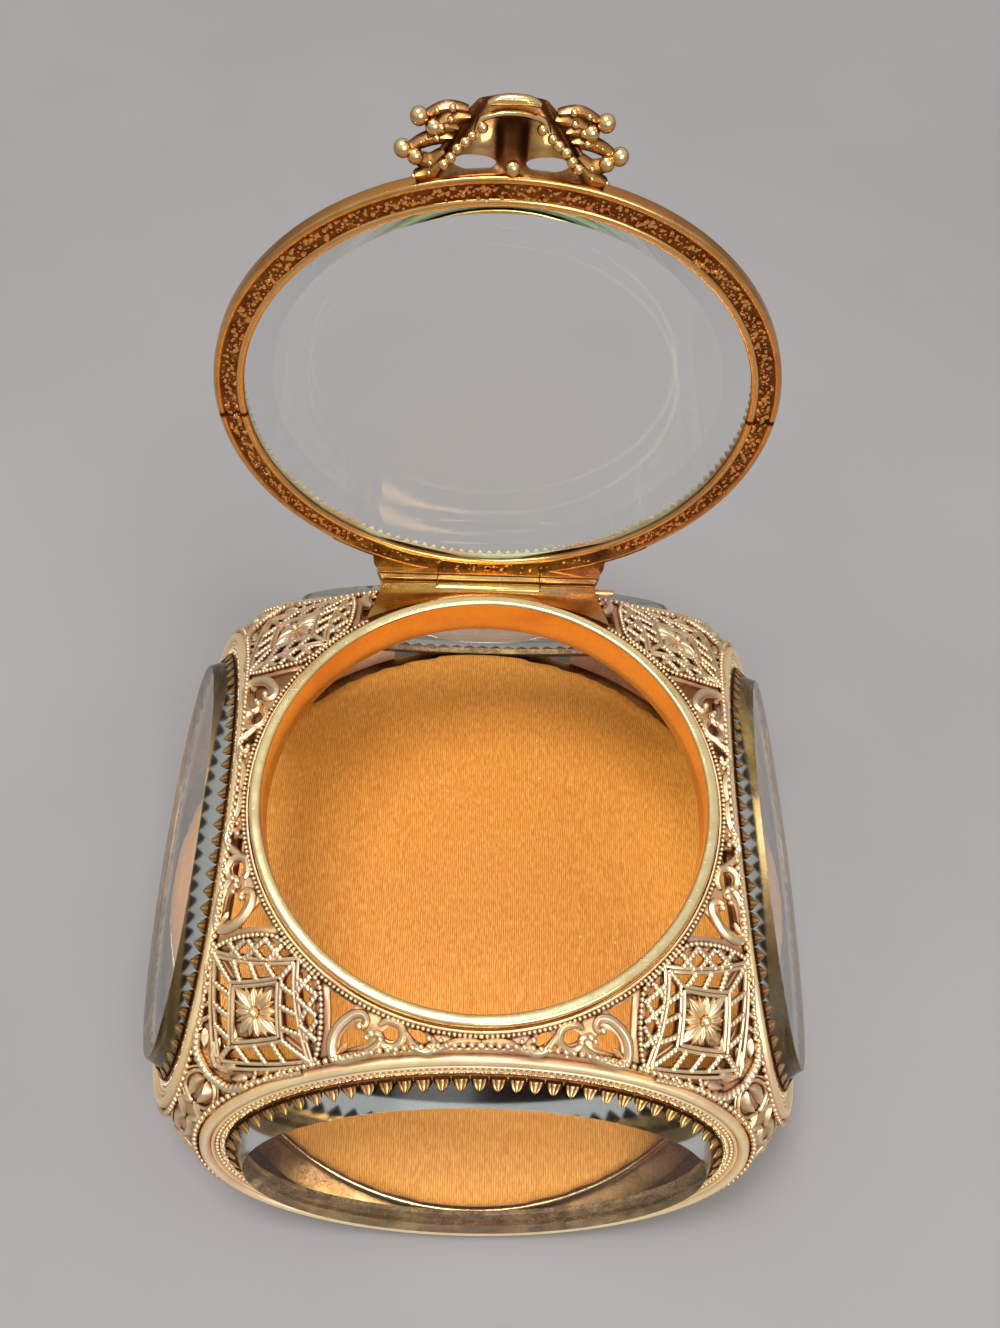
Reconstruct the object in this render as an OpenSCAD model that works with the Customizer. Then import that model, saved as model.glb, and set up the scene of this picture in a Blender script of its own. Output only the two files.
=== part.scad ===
// Glass casket box: five bevelled panes in a gilt filigree case with a hinged round lid.
// Origin at the centre of the base on the surface it stands on, +Z up, front towards -Y.
// The four sides are equal; each pane lies in a plane that leans in towards the top.

/* [Opening] */
// Outer radius of the polished rim round the opening
rim_r = 32; // [30:0.5:33]
// Width of the polished rim seen from above
rim_w = 1.6; // [1:0.1:2]
// Height of the top of the polished rim
rim_top = 45.7; // [45.6:0.05:45.8]
// Depth of the collar that lines the opening
collar_depth = 7; // [3:0.5:9]

/* [Side windows] */
// Half width of a window frame
win_a = 37.3; // [36.5:0.1:37.5]
// Half height of a window frame, measured along its lean
win_b = 21.7; // [21.6:0.1:21.8]
// Lean of the window planes from upright, in degrees
win_lean = 21.5; // [21.25:0.25:21.75]
// Distance from the box centre to a window centre
win_dist = 42.25; // [42.2:0.05:42.3]
// Height of a window centre
win_z = 21; // [21:0.05:21.1]
// Teeth in each crimped gallery that holds a side pane
win_teeth = 68; // [40:2:80]

/* [Glass] */
// Width of the ground bevel round a side pane
bevel_w = 2; // [1.5:0.1:3]
// Width of the ground bevel round the lid's pane
lid_bevel_w = 4; // [3:0.5:5]
// Rise of the bevel from a side pane's edge to its flat face
bevel_rise = 3.8; // [3:0.1:4]
// Rise of the bevel from the edge of the lid's pane to its flat face
lid_bevel_rise = 2; // [1.6:0.1:3.8]
// Thickness of a pane at its edge
glass_edge = 1.2; // [1:0.05:1.3]

/* [Lid] */
// Outer radius of the lid ring
lid_r = 36.4; // [36:0.1:36.6]
// Width of the lid ring
lid_w = 3.8; // [3.6:0.1:4.4]
// Gap between the closed lid and the rim below it
lid_gap = 0.2; // [0.15:0.05:0.3]
// Angle that the lid stands open at, in degrees
lid_open = 90.5; // [88:0.5:93]
// Teeth in the crimped gallery of the lid
lid_teeth = 72; // [50:2:80]

/* [Hinge] */
// Radius of the hinge knuckles
knuckle_r = 0.95; // [0.9:0.05:1]
// Radius of the hinge pin
pin_r = 0.5; // [0.4:0.05:0.6]
// Length of the whole hinge barrel
barrel_l = 32.6; // [30:0.2:34]
// Length of the middle knuckle, which belongs to the lid
knuckle_mid_l = 15.6; // [14:0.2:17]
// Length of pin that stands out at the right-hand end
pin_proud = 3; // [1:0.5:4]

/* [Thumb tab] */
// Width of the openwork thumb tab between its lower finials
tab_w = 23; // [21:0.2:25]
// Reach of the thumb tab beyond the lid ring
tab_h = 7.8; // [7:0.2:9]
// Droop of the thumb tab below the lid plane, in degrees
tab_droop = 22; // [0:1:30]
// Radius of the ball finials
ball_r = 0.85; // [0.6:0.05:1]

/* [Base and pad] */
// Outer radius of the base pan
pan_r = 50.1; // [49.8:0.1:50.2]
// Height of the upturned wall that holds the pad
pan_h = 3.4; // [3:0.1:3.6]
// Height of the crown of the pad at its middle
pad_top = 6.4; // [5.6:0.1:7]

/* [Hidden] */

$fn = 96;
// Corners of the polygon that stands for a window oval
oval_n = 72;
brass = "#c9a765";
brass_bright = "#e6c983";
glass_tint = [0.78, 0.86, 0.83, 0.5];
silk = "#dd8a2f";
card = "#b99d78";

sheet = 1;                          // thickness of the stamped corner panels
apex_r = win_dist - win_b * sin(win_lean);
apex_z = win_z + win_b * cos(win_lean);
rim_in = rim_r - rim_w;
rim_low = rim_top - 1.3;            // underside of the rim's lip
deck_z = rim_top - 1.5;             // top of the panels where they meet the rim
deck_rise = 2.4;                    // how far the panels stand above a window's top edge
deck_fade = 12;                     // distance over which that rise dies away outwards
wire_r = 0.36;                      // radius of the beaded wire beside the rim
wire_ring_r = rim_r + 0.75;

// Insets of the steps of a window frame, from its outer edge inwards
band_w = 2.2;
mill_w = 2.8;
wall_w = 3.7;
glass_in = 4.3;
seat_in = 6;
band_top = 0.9;
mill_top = 0.5;
slope_top = 0.1;
frame_low = -1;
seat_low = -2.1;
seat_top = -1.4;
tooth_low = 1.2;
tooth_thick = 0.35;
tooth_clear = 0.05;                 // gap between a tooth's tip and the glass
tooth_in = glass_in + bevel_w * (tooth_low - seat_top - glass_edge) / bevel_rise - tooth_clear;

// Hinge axis, which runs along X
axis_y = apex_r + 0.8;
axis_z = apex_z + 1.35;
pin_gap = 0.05;                     // running clearance of the pin in the lid's knuckle
end_gap = 0.15;                     // gap between neighbouring knuckles
lid_low = rim_top + lid_gap;        // underside of the closed lid
plate_t = 0.5;                      // thickness of the body's hinge plate
plate_low = axis_z + 0.65;          // underside of that plate
plate_spread = 3;                   // flare of the lid's hinge plate at each end
seat_spread = 1.2;                  // flare of the body's hinge plate at each end
hinge_zone = 37.5;                  // half angle of the rim that the hinge plate covers

// Heights in the lid ring, above its underside
lid_flange = 0.8;
lid_band_top = 2.2;
lid_mill_top = 1.7;
lid_wall_w = 2.7;
lid_glass_in = 3.1;

tab_t = 1.4;                        // thickness of the thumb tab

// Half width of the window oval at height v above its centre, along the lean
function oval_half(v) = win_a * sqrt(max(0, 1 - pow(v / win_b, 2)));
// Radius of the body at that height: the circle through the four ovals' edges
function body_r(v) = norm([oval_half(v), win_dist - v * sin(win_lean)]);
// Height above the floor of that level of the window plane
function body_z(v) = win_z + v * cos(win_lean);
// Rise of the panels over that surface at radius r, which eases to nothing outwards
function lift(r) =
    let (t = min(1, max(0, (r - apex_r) / deck_fade)))
    deck_rise * (1 - t * t * (3 - 2 * t));
// Levels from the bottom of the oval to its top, closer together near the ends
function level(t) = -win_b * cos(180 * t);
profile_n = 23;
panel_low = 0.8;                    // top of the pan's floor, on which the panels stand
pad_wall_r = 46.2;                  // outer radius of the wall that holds the pad

// Oval of the window, moved inwards by an inset
module oval(inset) {
    polygon([for (i = [0:oval_n - 1])
        [(win_a - inset) * cos(i * 360 / oval_n), (win_b - inset) * sin(i * 360 / oval_n)]]);
}

// Outline of the window seen from straight above, a little outside the oval's own edge
module upright_oval() {
    more = 0.3;
    polygon([for (i = [0:oval_n - 1])
        [(win_a + more) * cos(i * 360 / oval_n),
            (win_b * sin(win_lean) + more) * sin(i * 360 / oval_n)]]);
}

// Flat oval ring between two insets and two heights over the window plane
module oval_ring(outer, inner, low, high) {
    translate([0, 0, low])
        linear_extrude(high - low)
            difference() {
                oval(outer);
                oval(inner);
            }
}

// Puts a piece drawn in a window plane on one side: 0 front, 1 right, 2 back, 3 left
module on_side(side) {
    rotate([0, 0, side * 90])
        translate([0, -win_dist, win_z])
            rotate([90 - win_lean, 0, 0])
                children();
}

// Puts a piece drawn on the closed lid in the open position it rests in
module on_lid() {
    translate([0, axis_y, axis_z])
        rotate([-lid_open, 0, 0])
            translate([0, -axis_y, -axis_z])
                children();
}

// Straight-sided ring drawn from its radii and heights
module round_ring(outer, inner, low, high) {
    translate([0, 0, low])
        difference() {
            cylinder(r = outer, h = high - low);
            translate([0, 0, -1])
                cylinder(r = inner, h = high - low + 2);
        }
}

// Pressed floor of the box, cut away under the four window frames, with a low round wall
// with a rolled edge that holds the pad
module base_pan() {
    wall = 0.7;
    roll = 0.6;
    color(brass)
        difference() {
            rotate_extrude()
                union() {
                    square([pan_r, panel_low]);
                    translate([pad_wall_r - wall, 0])
                        square([wall, pan_h]);
                    translate([pad_wall_r - wall / 2, pan_h])
                        circle(r = roll, $fn = 24);
                }
            for (side = [0:3])
                on_side(side)
                    translate([0, 0, frame_low - 0.05])
                        linear_extrude(6)
                            oval(0);
        }
}

// Card disc that the pad's cloth is stretched over
module pad_board() {
    color(card)
        translate([0, 0, panel_low])
            cylinder(r = pad_wall_r - 1.7, h = 1.2);
}

// Round satin pad: its side rolls in above and below, and its top rises to a crown
module pad_cushion() {
    low = panel_low + 1.2;
    side_z = 4.1;
    side_r = pad_wall_r - 1;
    shoulder_r = side_r - 4;
    shoulder_z = 5.4;
    rise = 12;
    color(silk)
        rotate_extrude()
            polygon(concat(
                [[0, low], [side_r - 1.2, low]],
                [for (i = [0:rise])
                    [side_r - (1 - sin(180 * i / rise)) * 1.2 * (i < rise / 2 ? 1 : 1.6),
                        low + 0.2 + (side_z + 0.7 - low) * i / rise]],
                [for (i = [0:rise])
                    let (r = shoulder_r * (1 - i / rise))
                    [r, shoulder_z + (pad_top - shoulder_z) * (1 - pow(r / shoulder_r, 2))]]));
}

// One of the four stamped filigree corners: a quarter of the top round the rim and the post
// below it, cut out for the windows at each side and for the hinge at the back
module corner_panel(quarter) {
    color(brass)
        difference() {
            union() {
                panel_shell(quarter);
                panel_cap(quarter);
            }
            hinge_seat(0.02);
            translate([-barrel_l / 2 - 0.5, axis_y - knuckle_r - 0.25, apex_z - 2])
                cube([barrel_l + 1, 5, 8]);
        }
}

// Plain curved sheet of a corner, out to the edges of the two windows beside it
module panel_shell(quarter) {
    levels = [for (i = [0:profile_n]) level(i / profile_n)];
    used = [for (v = levels) if (body_z(v) > panel_low + 0.4) v];
    difference() {
        rotate([0, 0, quarter * 90 - 90])
            rotate_extrude(angle = 90)
                polygon(concat(
                    [[body_r(used[0]) - 0.4, panel_low]],
                    [for (v = used) if (body_z(v) < apex_z - 0.6) [body_r(v), body_z(v)]],
                    [[apex_r, apex_z + 0.1], [rim_in + 0.62, apex_z + 0.1],
                        [rim_in + 0.62, apex_z - sheet], [apex_r - 0.6, apex_z - sheet]],
                    [for (i = [len(used) - 1:-1:0])
                        let (v = used[i])
                        if (body_z(v) < apex_z - 1.8) [body_r(v) - sheet, body_z(v) - 0.35]],
                    [[body_r(used[0]) - 0.4 - sheet, panel_low]]));
        for (side = [quarter, quarter + 1])
            on_side(side)
                translate([0, 0, -12])
                    linear_extrude(30)
                        oval(-0.02);
    }
}

// Domed part of a corner, which stands above the sheet and rises to the rim
module panel_cap(quarter) {
    high = [for (i = [0:profile_n])
        let (v = level(i / profile_n))
        if (v > 0 && body_r(v) > apex_r + 0.5 && lift(body_r(v)) > 0.3) v];
    difference() {
        rotate([0, 0, quarter * 90 - 90])
            rotate_extrude(angle = 90)
                polygon(concat(
                    [[body_r(high[0]), body_z(high[0]) - 0.5]],
                    [for (v = high) [body_r(v), body_z(v) + lift(body_r(v))]],
                    [[apex_r, apex_z + deck_rise], [rim_r + 0.3, deck_z],
                        [rim_in + 0.62, deck_z], [rim_in + 0.62, apex_z - 0.5],
                        [apex_r, apex_z - 0.5]],
                    [for (i = [len(high) - 1:-1:1])
                        [body_r(high[i]) - 0.3, body_z(high[i]) - 0.5]]));
        for (side = [quarter, quarter + 1]) {
            rotate([0, 0, side * 90])
                translate([0, -win_dist, win_z])
                    linear_extrude(30)
                        upright_oval();
            on_side(side)
                translate([0, 0, frame_low - 0.05])
                    linear_extrude(10)
                        oval(-0.02);
        }
    }
}

// Frame of one side window: polished band, milled edge, inner slope, and a seat for the glass
module window_frame(side) {
    color(brass_bright)
        on_side(side)
            union() {
                oval_ring(0, band_w, frame_low, band_top);
                oval_ring(band_w, mill_w, frame_low, mill_top);
                oval_ring(mill_w, wall_w, seat_low, slope_top);
                oval_ring(wall_w, seat_in, seat_low, seat_top);
            }
}

// Crimped gallery of one side window: a strip round the pane with teeth bent over its bevel
module window_gallery(side) {
    step = 360 / win_teeth;
    color(brass)
        on_side(side)
            union() {
                oval_ring(wall_w, glass_in - 0.05, seat_top, tooth_low);
                oval_ring(wall_w, glass_in, tooth_low, tooth_low + tooth_thick);
                translate([0, 0, tooth_low])
                    linear_extrude(tooth_thick)
                        for (i = [0:win_teeth - 1])
                            oval_tooth(i * step, step * 0.42);
            }
}

// Outline of one tooth: a triangle that points to the middle of the oval
module oval_tooth(at, half) {
    root = glass_in - 0.1;
    polygon([
        [(win_a - root) * cos(at - half), (win_b - root) * sin(at - half)],
        [(win_a - root) * cos(at + half), (win_b - root) * sin(at + half)],
        [(win_a - tooth_in) * cos(at), (win_b - tooth_in) * sin(at)]]);
}

// Bevelled pane of one side window
module window_glass(side) {
    color(glass_tint)
        on_side(side)
            translate([0, 0, seat_top])
                hull() {
                    linear_extrude(glass_edge)
                        oval(glass_in);
                    linear_extrude(glass_edge + bevel_rise)
                        oval(glass_in + bevel_w);
                }
}

// Polished rim of the opening, with the collar that lines it
module rim_collar() {
    edge = 0.5;
    color(brass_bright)
        rotate_extrude()
            union() {
                translate([rim_in, rim_top - collar_depth])
                    square([0.6, collar_depth - edge]);
                translate([rim_in, rim_low])
                    square([rim_w, rim_top - rim_low - edge]);
                translate([rim_in + edge, rim_low])
                    square([rim_w - 2 * edge, rim_top - rim_low]);
                for (x = [rim_in + edge, rim_r - edge])
                    translate([x, rim_top - edge])
                        circle(r = edge, $fn = 24);
            }
}

// Beaded wire laid beside the rim, left off where the hinge plate lies
module rim_bead_wire() {
    slope = (deck_z - apex_z - deck_rise) / (rim_r + 0.3 - apex_r);
    color(brass)
        rotate([0, 0, 90 + hinge_zone])
            rotate_extrude(angle = 360 - 2 * hinge_zone)
                translate([wire_ring_r,
                    deck_z + slope * (wire_ring_r - rim_r - 0.3) + wire_r * norm([1, slope]) + 0.01])
                    circle(r = wire_r, $fn = 24);
}

// Outline of the body's hinge plate, straight behind and flaring at each end, with a margin
module hinge_seat(margin) {
    half = barrel_l / 2 + margin;
    back = axis_y - 0.5;
    translate([0, 0, plate_low - margin])
        linear_extrude(plate_t + (margin > 0 ? 5 : 0))
            difference() {
                polygon([[-half, back], [half, back],
                    [half + seat_spread, 26.5], [-half - seat_spread, 26.5]]);
                circle(r = rim_in + 0.62);
            }
}

// Hinge plate let into the top of the body, with the two outer knuckles
module hinge_leaf_body() {
    half = barrel_l / 2;
    inner = knuckle_mid_l / 2 + end_gap;
    web_y = axis_y - knuckle_r;
    color(brass_bright)
        difference() {
            union() {
                hinge_seat(0);
                for (side = [-1, 1])
                    translate([side * (half + inner) / 2 - (half - inner) / 2, axis_y, axis_z]) {
                        translate([0, -knuckle_r, 0])
                            cube([half - inner, knuckle_r, plate_low + plate_t - axis_z]);
                        rotate([0, 90, 0])
                            cylinder(r = knuckle_r, h = half - inner);
                    }
            }
            translate([-barrel_l, axis_y, axis_z])
                rotate([0, 90, 0])
                    cylinder(r = pin_r, h = 2 * barrel_l);
            translate([-inner, web_y - end_gap, plate_low - 1])
                cube([2 * inner, 3, 3]);
        }
}

// Pin through all the knuckles, a little long at the right-hand end
module hinge_pin() {
    color(brass_bright)
        translate([-barrel_l / 2 - 0.2, axis_y, axis_z])
            rotate([0, 90, 0])
                cylinder(r = pin_r, h = barrel_l + 0.2 + pin_proud);
}

// Hinge plate of the lid: it flares into the lid ring, and a thin web runs down from it to
// the middle knuckle and, in short steps, towards the outer ones
module hinge_leaf_lid() {
    half = barrel_l / 2;
    edge_y = lid_r + 0.5;
    mid = knuckle_mid_l / 2;
    web = 0.7;
    color(brass_bright)
        on_lid()
            difference() {
                union() {
                    translate([0, 0, lid_low])
                        linear_extrude(lid_band_top - 0.4)
                            difference() {
                                polygon([[-half, edge_y], [half, edge_y],
                                    [half + plate_spread, 28.6], [-half - plate_spread, 28.6]]);
                                circle(r = lid_r + 0.02);
                            }
                    translate([-mid, axis_y - web / 2, axis_z])
                        cube([2 * mid, web, lid_low - axis_z]);
                    translate([-mid, axis_y - web / 2, lid_low - web])
                        cube([2 * mid, edge_y - axis_y + web / 2, web]);
                    for (side = [-1, 1])
                        translate([side * (mid + half) / 2 - (half - mid) / 2 - 0.01, 0, 0]) {
                            translate([0, axis_y + 0.5, axis_z + 1.3])
                                cube([half - mid + 0.02, web, lid_low - axis_z - 1.3]);
                            translate([0, axis_y + 0.5, lid_low - web])
                                cube([half - mid + 0.02, edge_y - axis_y - 0.5, web]);
                        }
                    translate([-mid, axis_y, axis_z])
                        rotate([0, 90, 0])
                            cylinder(r = knuckle_r, h = 2 * mid);
                }
                translate([-barrel_l, axis_y, axis_z])
                    rotate([0, 90, 0])
                        cylinder(r = pin_r + pin_gap, h = 2 * barrel_l);
            }
}

// Lid ring: a flange under the glass, a raised outer band and a milled edge inside it
module lid_frame() {
    color(brass_bright)
        on_lid()
            translate([0, 0, lid_low])
                rotate_extrude()
                    union() {
                        translate([lid_r - lid_w, 0])
                            square([lid_w, lid_flange]);
                        translate([lid_r - 2, 0])
                            square([2, lid_band_top - 0.4]);
                        translate([lid_r - 1.6, 0])
                            square([1.2, lid_band_top]);
                        for (x = [lid_r - 1.6, lid_r - 0.4])
                            translate([x, lid_band_top - 0.4])
                                circle(r = 0.4, $fn = 24);
                        translate([lid_r - lid_wall_w, 0])
                            square([lid_wall_w - 1, lid_mill_top]);
                    }
}

// Crimped gallery of the lid: a strip round the pane with teeth bent over its bevel
module lid_gallery() {
    step = 360 / lid_teeth;
    wall_r = lid_r - lid_wall_w;
    tooth_root = lid_r - lid_glass_in - 0.2;
    tooth_rise = 0.6;
    tooth_tip = lid_r - lid_glass_in - lid_bevel_w * tooth_rise / lid_bevel_rise + tooth_clear;
    high = lid_low + lid_flange + glass_edge + tooth_rise;
    color(brass)
        on_lid()
            union() {
                round_ring(wall_r, lid_r - lid_glass_in + 0.05, lid_low + lid_flange, high);
                round_ring(wall_r, tooth_root, high, high + tooth_thick);
                translate([0, 0, high])
                    linear_extrude(tooth_thick)
                        for (i = [0:lid_teeth - 1])
                            rotate([0, 0, i * step])
                                polygon([[tooth_root + 0.2, -tooth_root * sin(step * 0.42)],
                                    [tooth_tip, 0], [tooth_root + 0.2, tooth_root * sin(step * 0.42)]]);
            }
}

// Round bevelled pane of the lid
module lid_glass() {
    edge_r = lid_r - lid_glass_in;
    color(glass_tint)
        on_lid()
            translate([0, 0, lid_low + lid_flange])
                rotate_extrude()
                    polygon([[0, 0], [edge_r, 0], [edge_r, glass_edge],
                        [edge_r - lid_bevel_w, glass_edge + lid_bevel_rise],
                        [0, glass_edge + lid_bevel_rise]]);
}

// Puts a piece drawn flat, reaching towards +Y from the lid's front edge, on the open lid
module on_tab() {
    on_lid()
        translate([0, -lid_r, lid_low + 0.4])
            rotate([180 - tab_droop, 0, 0])
                translate([0, 0, -tab_t])
                    children();
}

// Places of the ball finials on one side of the tab, as distance from its middle and reach
ball_at = [[tab_w / 2, tab_h * 0.28], [tab_w / 2 - 1.8, tab_h * 0.7]];

// Openwork thumb tab: a crown with an arch, a middle rib and an arm to each finial
module thumb_tab() {
    arch_r = tab_h * 0.72;
    color(brass)
        difference() {
            on_tab()
                union() {
                    linear_extrude(tab_t)
                        difference() {
                            polygon([[-9.6, -1.2], [-8.6, 1.4], [-5.4, tab_h * 0.8], [-3.4, tab_h],
                                [3.4, tab_h], [5.4, tab_h * 0.8], [8.6, 1.4], [9.6, -1.2]]);
                            difference() {
                                circle(r = arch_r - 1.6);
                                translate([-arch_r, -2])
                                    square([2 * arch_r, 2.6]);
                                translate([-0.8, 0])
                                    square([1.6, arch_r]);
                            }
                        }
                    for (side = [-1, 1])
                        for (ball = ball_at)
                            tab_arm([side * tab_w * 0.26, ball[1] * 0.6], [side * ball[0], ball[1]]);
                }
            on_lid()
                translate([0, 0, lid_low - 1])
                    cylinder(r = lid_r + 0.02, h = 6);
        }
}

// Arm of the tab, a little thinner than the tab, from one point of it to another
module tab_arm(from, to) {
    run = to - from;
    translate([from[0], from[1], 0.1])
        rotate([0, 0, atan2(run[1], run[0])])
            translate([0, -0.6, 0])
                cube([norm(run) - ball_r, 1.2, tab_t - 0.2]);
}

// Ball finials, two at each side of the tab
module tab_finials() {
    color(brass_bright)
        on_tab()
            for (side = [-1, 1])
                for (ball = ball_at)
                    translate([side * ball[0], ball[1], tab_t / 2])
                        sphere(r = ball_r, $fn = 24);
}

base_pan();
pad_board();
pad_cushion();
corner_panel(0);  // corner_panel_front_right
corner_panel(1);  // corner_panel_back_right
corner_panel(2);  // corner_panel_back_left
corner_panel(3);  // corner_panel_front_left
window_frame(0);  // window_frame_front
window_frame(1);  // window_frame_right
window_frame(2);  // window_frame_back
window_frame(3);  // window_frame_left
window_gallery(0);  // window_gallery_front
window_gallery(1);  // window_gallery_right
window_gallery(2);  // window_gallery_back
window_gallery(3);  // window_gallery_left
window_glass(0);  // window_glass_front
window_glass(1);  // window_glass_right
window_glass(2);  // window_glass_back
window_glass(3);  // window_glass_left
rim_collar();
rim_bead_wire();
hinge_leaf_body();
hinge_pin();
hinge_leaf_lid();
lid_frame();
lid_gallery();
lid_glass();
thumb_tab();
tab_finials();
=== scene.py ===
import math

import bpy
import numpy as np
from mathutils import Matrix


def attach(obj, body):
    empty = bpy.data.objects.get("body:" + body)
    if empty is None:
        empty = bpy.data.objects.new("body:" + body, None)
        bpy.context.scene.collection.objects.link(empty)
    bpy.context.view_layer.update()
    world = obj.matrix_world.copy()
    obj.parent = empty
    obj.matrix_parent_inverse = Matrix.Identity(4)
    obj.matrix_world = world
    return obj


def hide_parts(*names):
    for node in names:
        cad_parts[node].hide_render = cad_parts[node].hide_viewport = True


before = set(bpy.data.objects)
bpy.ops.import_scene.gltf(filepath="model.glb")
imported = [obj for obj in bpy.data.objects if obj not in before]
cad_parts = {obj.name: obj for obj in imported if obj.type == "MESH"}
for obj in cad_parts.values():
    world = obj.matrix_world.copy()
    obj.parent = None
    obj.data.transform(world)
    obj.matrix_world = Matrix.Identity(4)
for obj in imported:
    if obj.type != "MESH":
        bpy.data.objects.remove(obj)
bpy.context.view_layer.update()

# Lengths here are in millimetres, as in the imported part; MM turns them into metres.
MM = 0.001
RIM_R, RIM_W, RIM_TOP = 32.0, 1.6, 45.7
RIM_IN = RIM_R - RIM_W
COLLAR_DEPTH = 7.0
WIN_A, WIN_B = 37.3, 21.7
LEAN = math.radians(21.5)
WIN_DIST, WIN_Z = 42.25, 21.0
APEX_R = WIN_DIST - WIN_B * math.sin(LEAN)
APEX_Z = WIN_Z + WIN_B * math.cos(LEAN)
DECK_Z = RIM_TOP - 1.5
DECK_RISE, DECK_FADE = 2.4, 12.0
SHEET = 0.8
AXIS_Y, AXIS_Z = APEX_R + 0.8, APEX_Z + 1.35
KNUCKLE_R, PIN_R = 0.95, 0.5
BARREL_L, KNUCKLE_MID_L, PIN_PROUD = 32.6, 15.6, 3.0
PLATE_LOW, PLATE_T = AXIS_Z + 0.65, 0.5
LID_R, LID_LOW, LID_OPEN = 36.4, RIM_TOP + 0.2, math.radians(90.5)
LID_SEAT, LID_PANE_R, LID_BEVEL_W, LID_BEVEL_RISE = 0.8, 33.3, 4.0, 2.0
PAN_R, PAN_H, PAN_WALL_R = 50.1, 3.4, 46.2
PAD_LOW, PAD_TOP = 2.0, 6.4
SEAT_TOP, PANE_EDGE, PANE_RISE = -1.4, 1.2, 3.8
PANE_IN, PANE_BEVEL_W = 4.3, 2.0
SIDES = ("front", "right", "back", "left")
QUARTERS = ("front_right", "back_right", "back_left", "front_left")

scene = bpy.context.scene


# Meshes. A shape is its points, its four-sided and three-sided faces, and its relief, which
# runs from 0 in the recesses to 1 on the tops and steers where the gilding is worn or dirty
# and where painted shade and painted highlights fall on it.

def shape(points, quads=(), tris=(), relief=0.5):
    """Points, faces and relief as arrays of one kind."""
    points = np.asarray(points, float).reshape(-1, 3)
    quads = np.asarray(quads, int).reshape(-1, 4)
    tris = np.asarray(tris, int).reshape(-1, 3)
    relief = np.broadcast_to(np.asarray(relief, float).reshape(-1), len(points)).copy()
    return points, quads, tris, relief


def joined(shapes):
    """Several shapes as one."""
    start = np.cumsum([0] + [len(s[0]) for s in shapes])
    return (np.concatenate([s[0] for s in shapes]),
            np.concatenate([s[1] + n for s, n in zip(shapes, start)]),
            np.concatenate([s[2] + n for s, n in zip(shapes, start)]),
            np.concatenate([s[3] for s in shapes]))


def facing_out(made):
    """Turns the faces round where the volume they enclose comes out below nothing: it is the
    sum over the triangles of a . (b x c)."""
    points, quads, tris, relief = made
    flat = np.concatenate([tris, quads[:, [0, 1, 2]], quads[:, [0, 2, 3]]])
    a, b, c = (points[flat[:, i]] for i in range(3))
    if np.einsum("ij,ij->", a, np.cross(b, c)) < 0:
        quads, tris = quads[:, ::-1], tris[:, ::-1]
    return points, quads, tris, relief


def lattice(points, round_rows=False, round_cols=False, relief=0.5, ends=False):
    """A grid of points with a face between each four neighbours. Round rows or columns join
    the last to the first, and ends close the first and last row with a fan to its middle."""
    rows, cols = points.shape[:2]
    i, j = np.meshgrid(np.arange(rows if round_rows else rows - 1),
                       np.arange(cols if round_cols else cols - 1), indexing="ij")
    i2, j2 = (i + 1) % rows, (j + 1) % cols
    quads = np.stack([i * cols + j, i * cols + j2, i2 * cols + j2, i2 * cols + j], -1)
    relief = np.broadcast_to(np.asarray(relief, float), (rows, cols)).reshape(-1)
    flat, tris = points.reshape(-1, 3), []
    if ends:
        k = np.arange(cols)
        n = rows * cols
        tris = np.concatenate([
            np.stack([(k + 1) % cols, k, np.full(cols, n)], -1),
            np.stack([k, (k + 1) % cols, np.full(cols, n + 1)], -1)
            + np.array([n - cols, n - cols, 0])])
        flat = np.concatenate([flat, points[:1].mean(1), points[-1:].mean(1)])
        relief = np.concatenate([relief, relief[:1], relief[-1:]])
    return facing_out(shape(flat, quads, tris, relief))


def piece(name, made, finish, body, stands_for=(), sharp=38.0):
    """Puts a shape into a mesh in metres, with its relief as an attribute and its finish, and
    sets it on its body."""
    points, quads, tris, relief = made
    mesh = bpy.data.meshes.new(name)
    mesh.vertices.add(len(points))
    mesh.vertices.foreach_set("co", (points * MM).astype(np.float32).ravel())
    mesh.loops.add(4 * len(quads) + 3 * len(tris))
    mesh.loops.foreach_set("vertex_index",
                           np.concatenate([quads.ravel(), tris.ravel()]).astype(np.int32))
    mesh.polygons.add(len(quads) + len(tris))
    starts = np.concatenate([np.arange(len(quads)) * 4,
                             4 * len(quads) + np.arange(len(tris)) * 3])
    mesh.polygons.foreach_set("loop_start", starts.astype(np.int32))
    mesh.attributes.new("relief", "FLOAT", "POINT").data.foreach_set(
        "value", relief.astype(np.float32))
    mesh.update(calc_edges=True)
    mesh.validate()
    mesh.polygons.foreach_set("use_smooth", np.ones(len(mesh.polygons), bool))
    mesh.set_sharp_from_angle(angle=math.radians(sharp))
    mesh.materials.append(finish)
    thing = bpy.data.objects.new(name, mesh)
    scene.collection.objects.link(thing)
    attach(thing, body)
    if stands_for:
        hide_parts(*stands_for)
    return thing


# Curves and the shapes carried along them

def unit(a):
    """Vectors brought to length 1."""
    return a / np.maximum(np.linalg.norm(a, axis=-1, keepdims=True), 1e-12)


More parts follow.
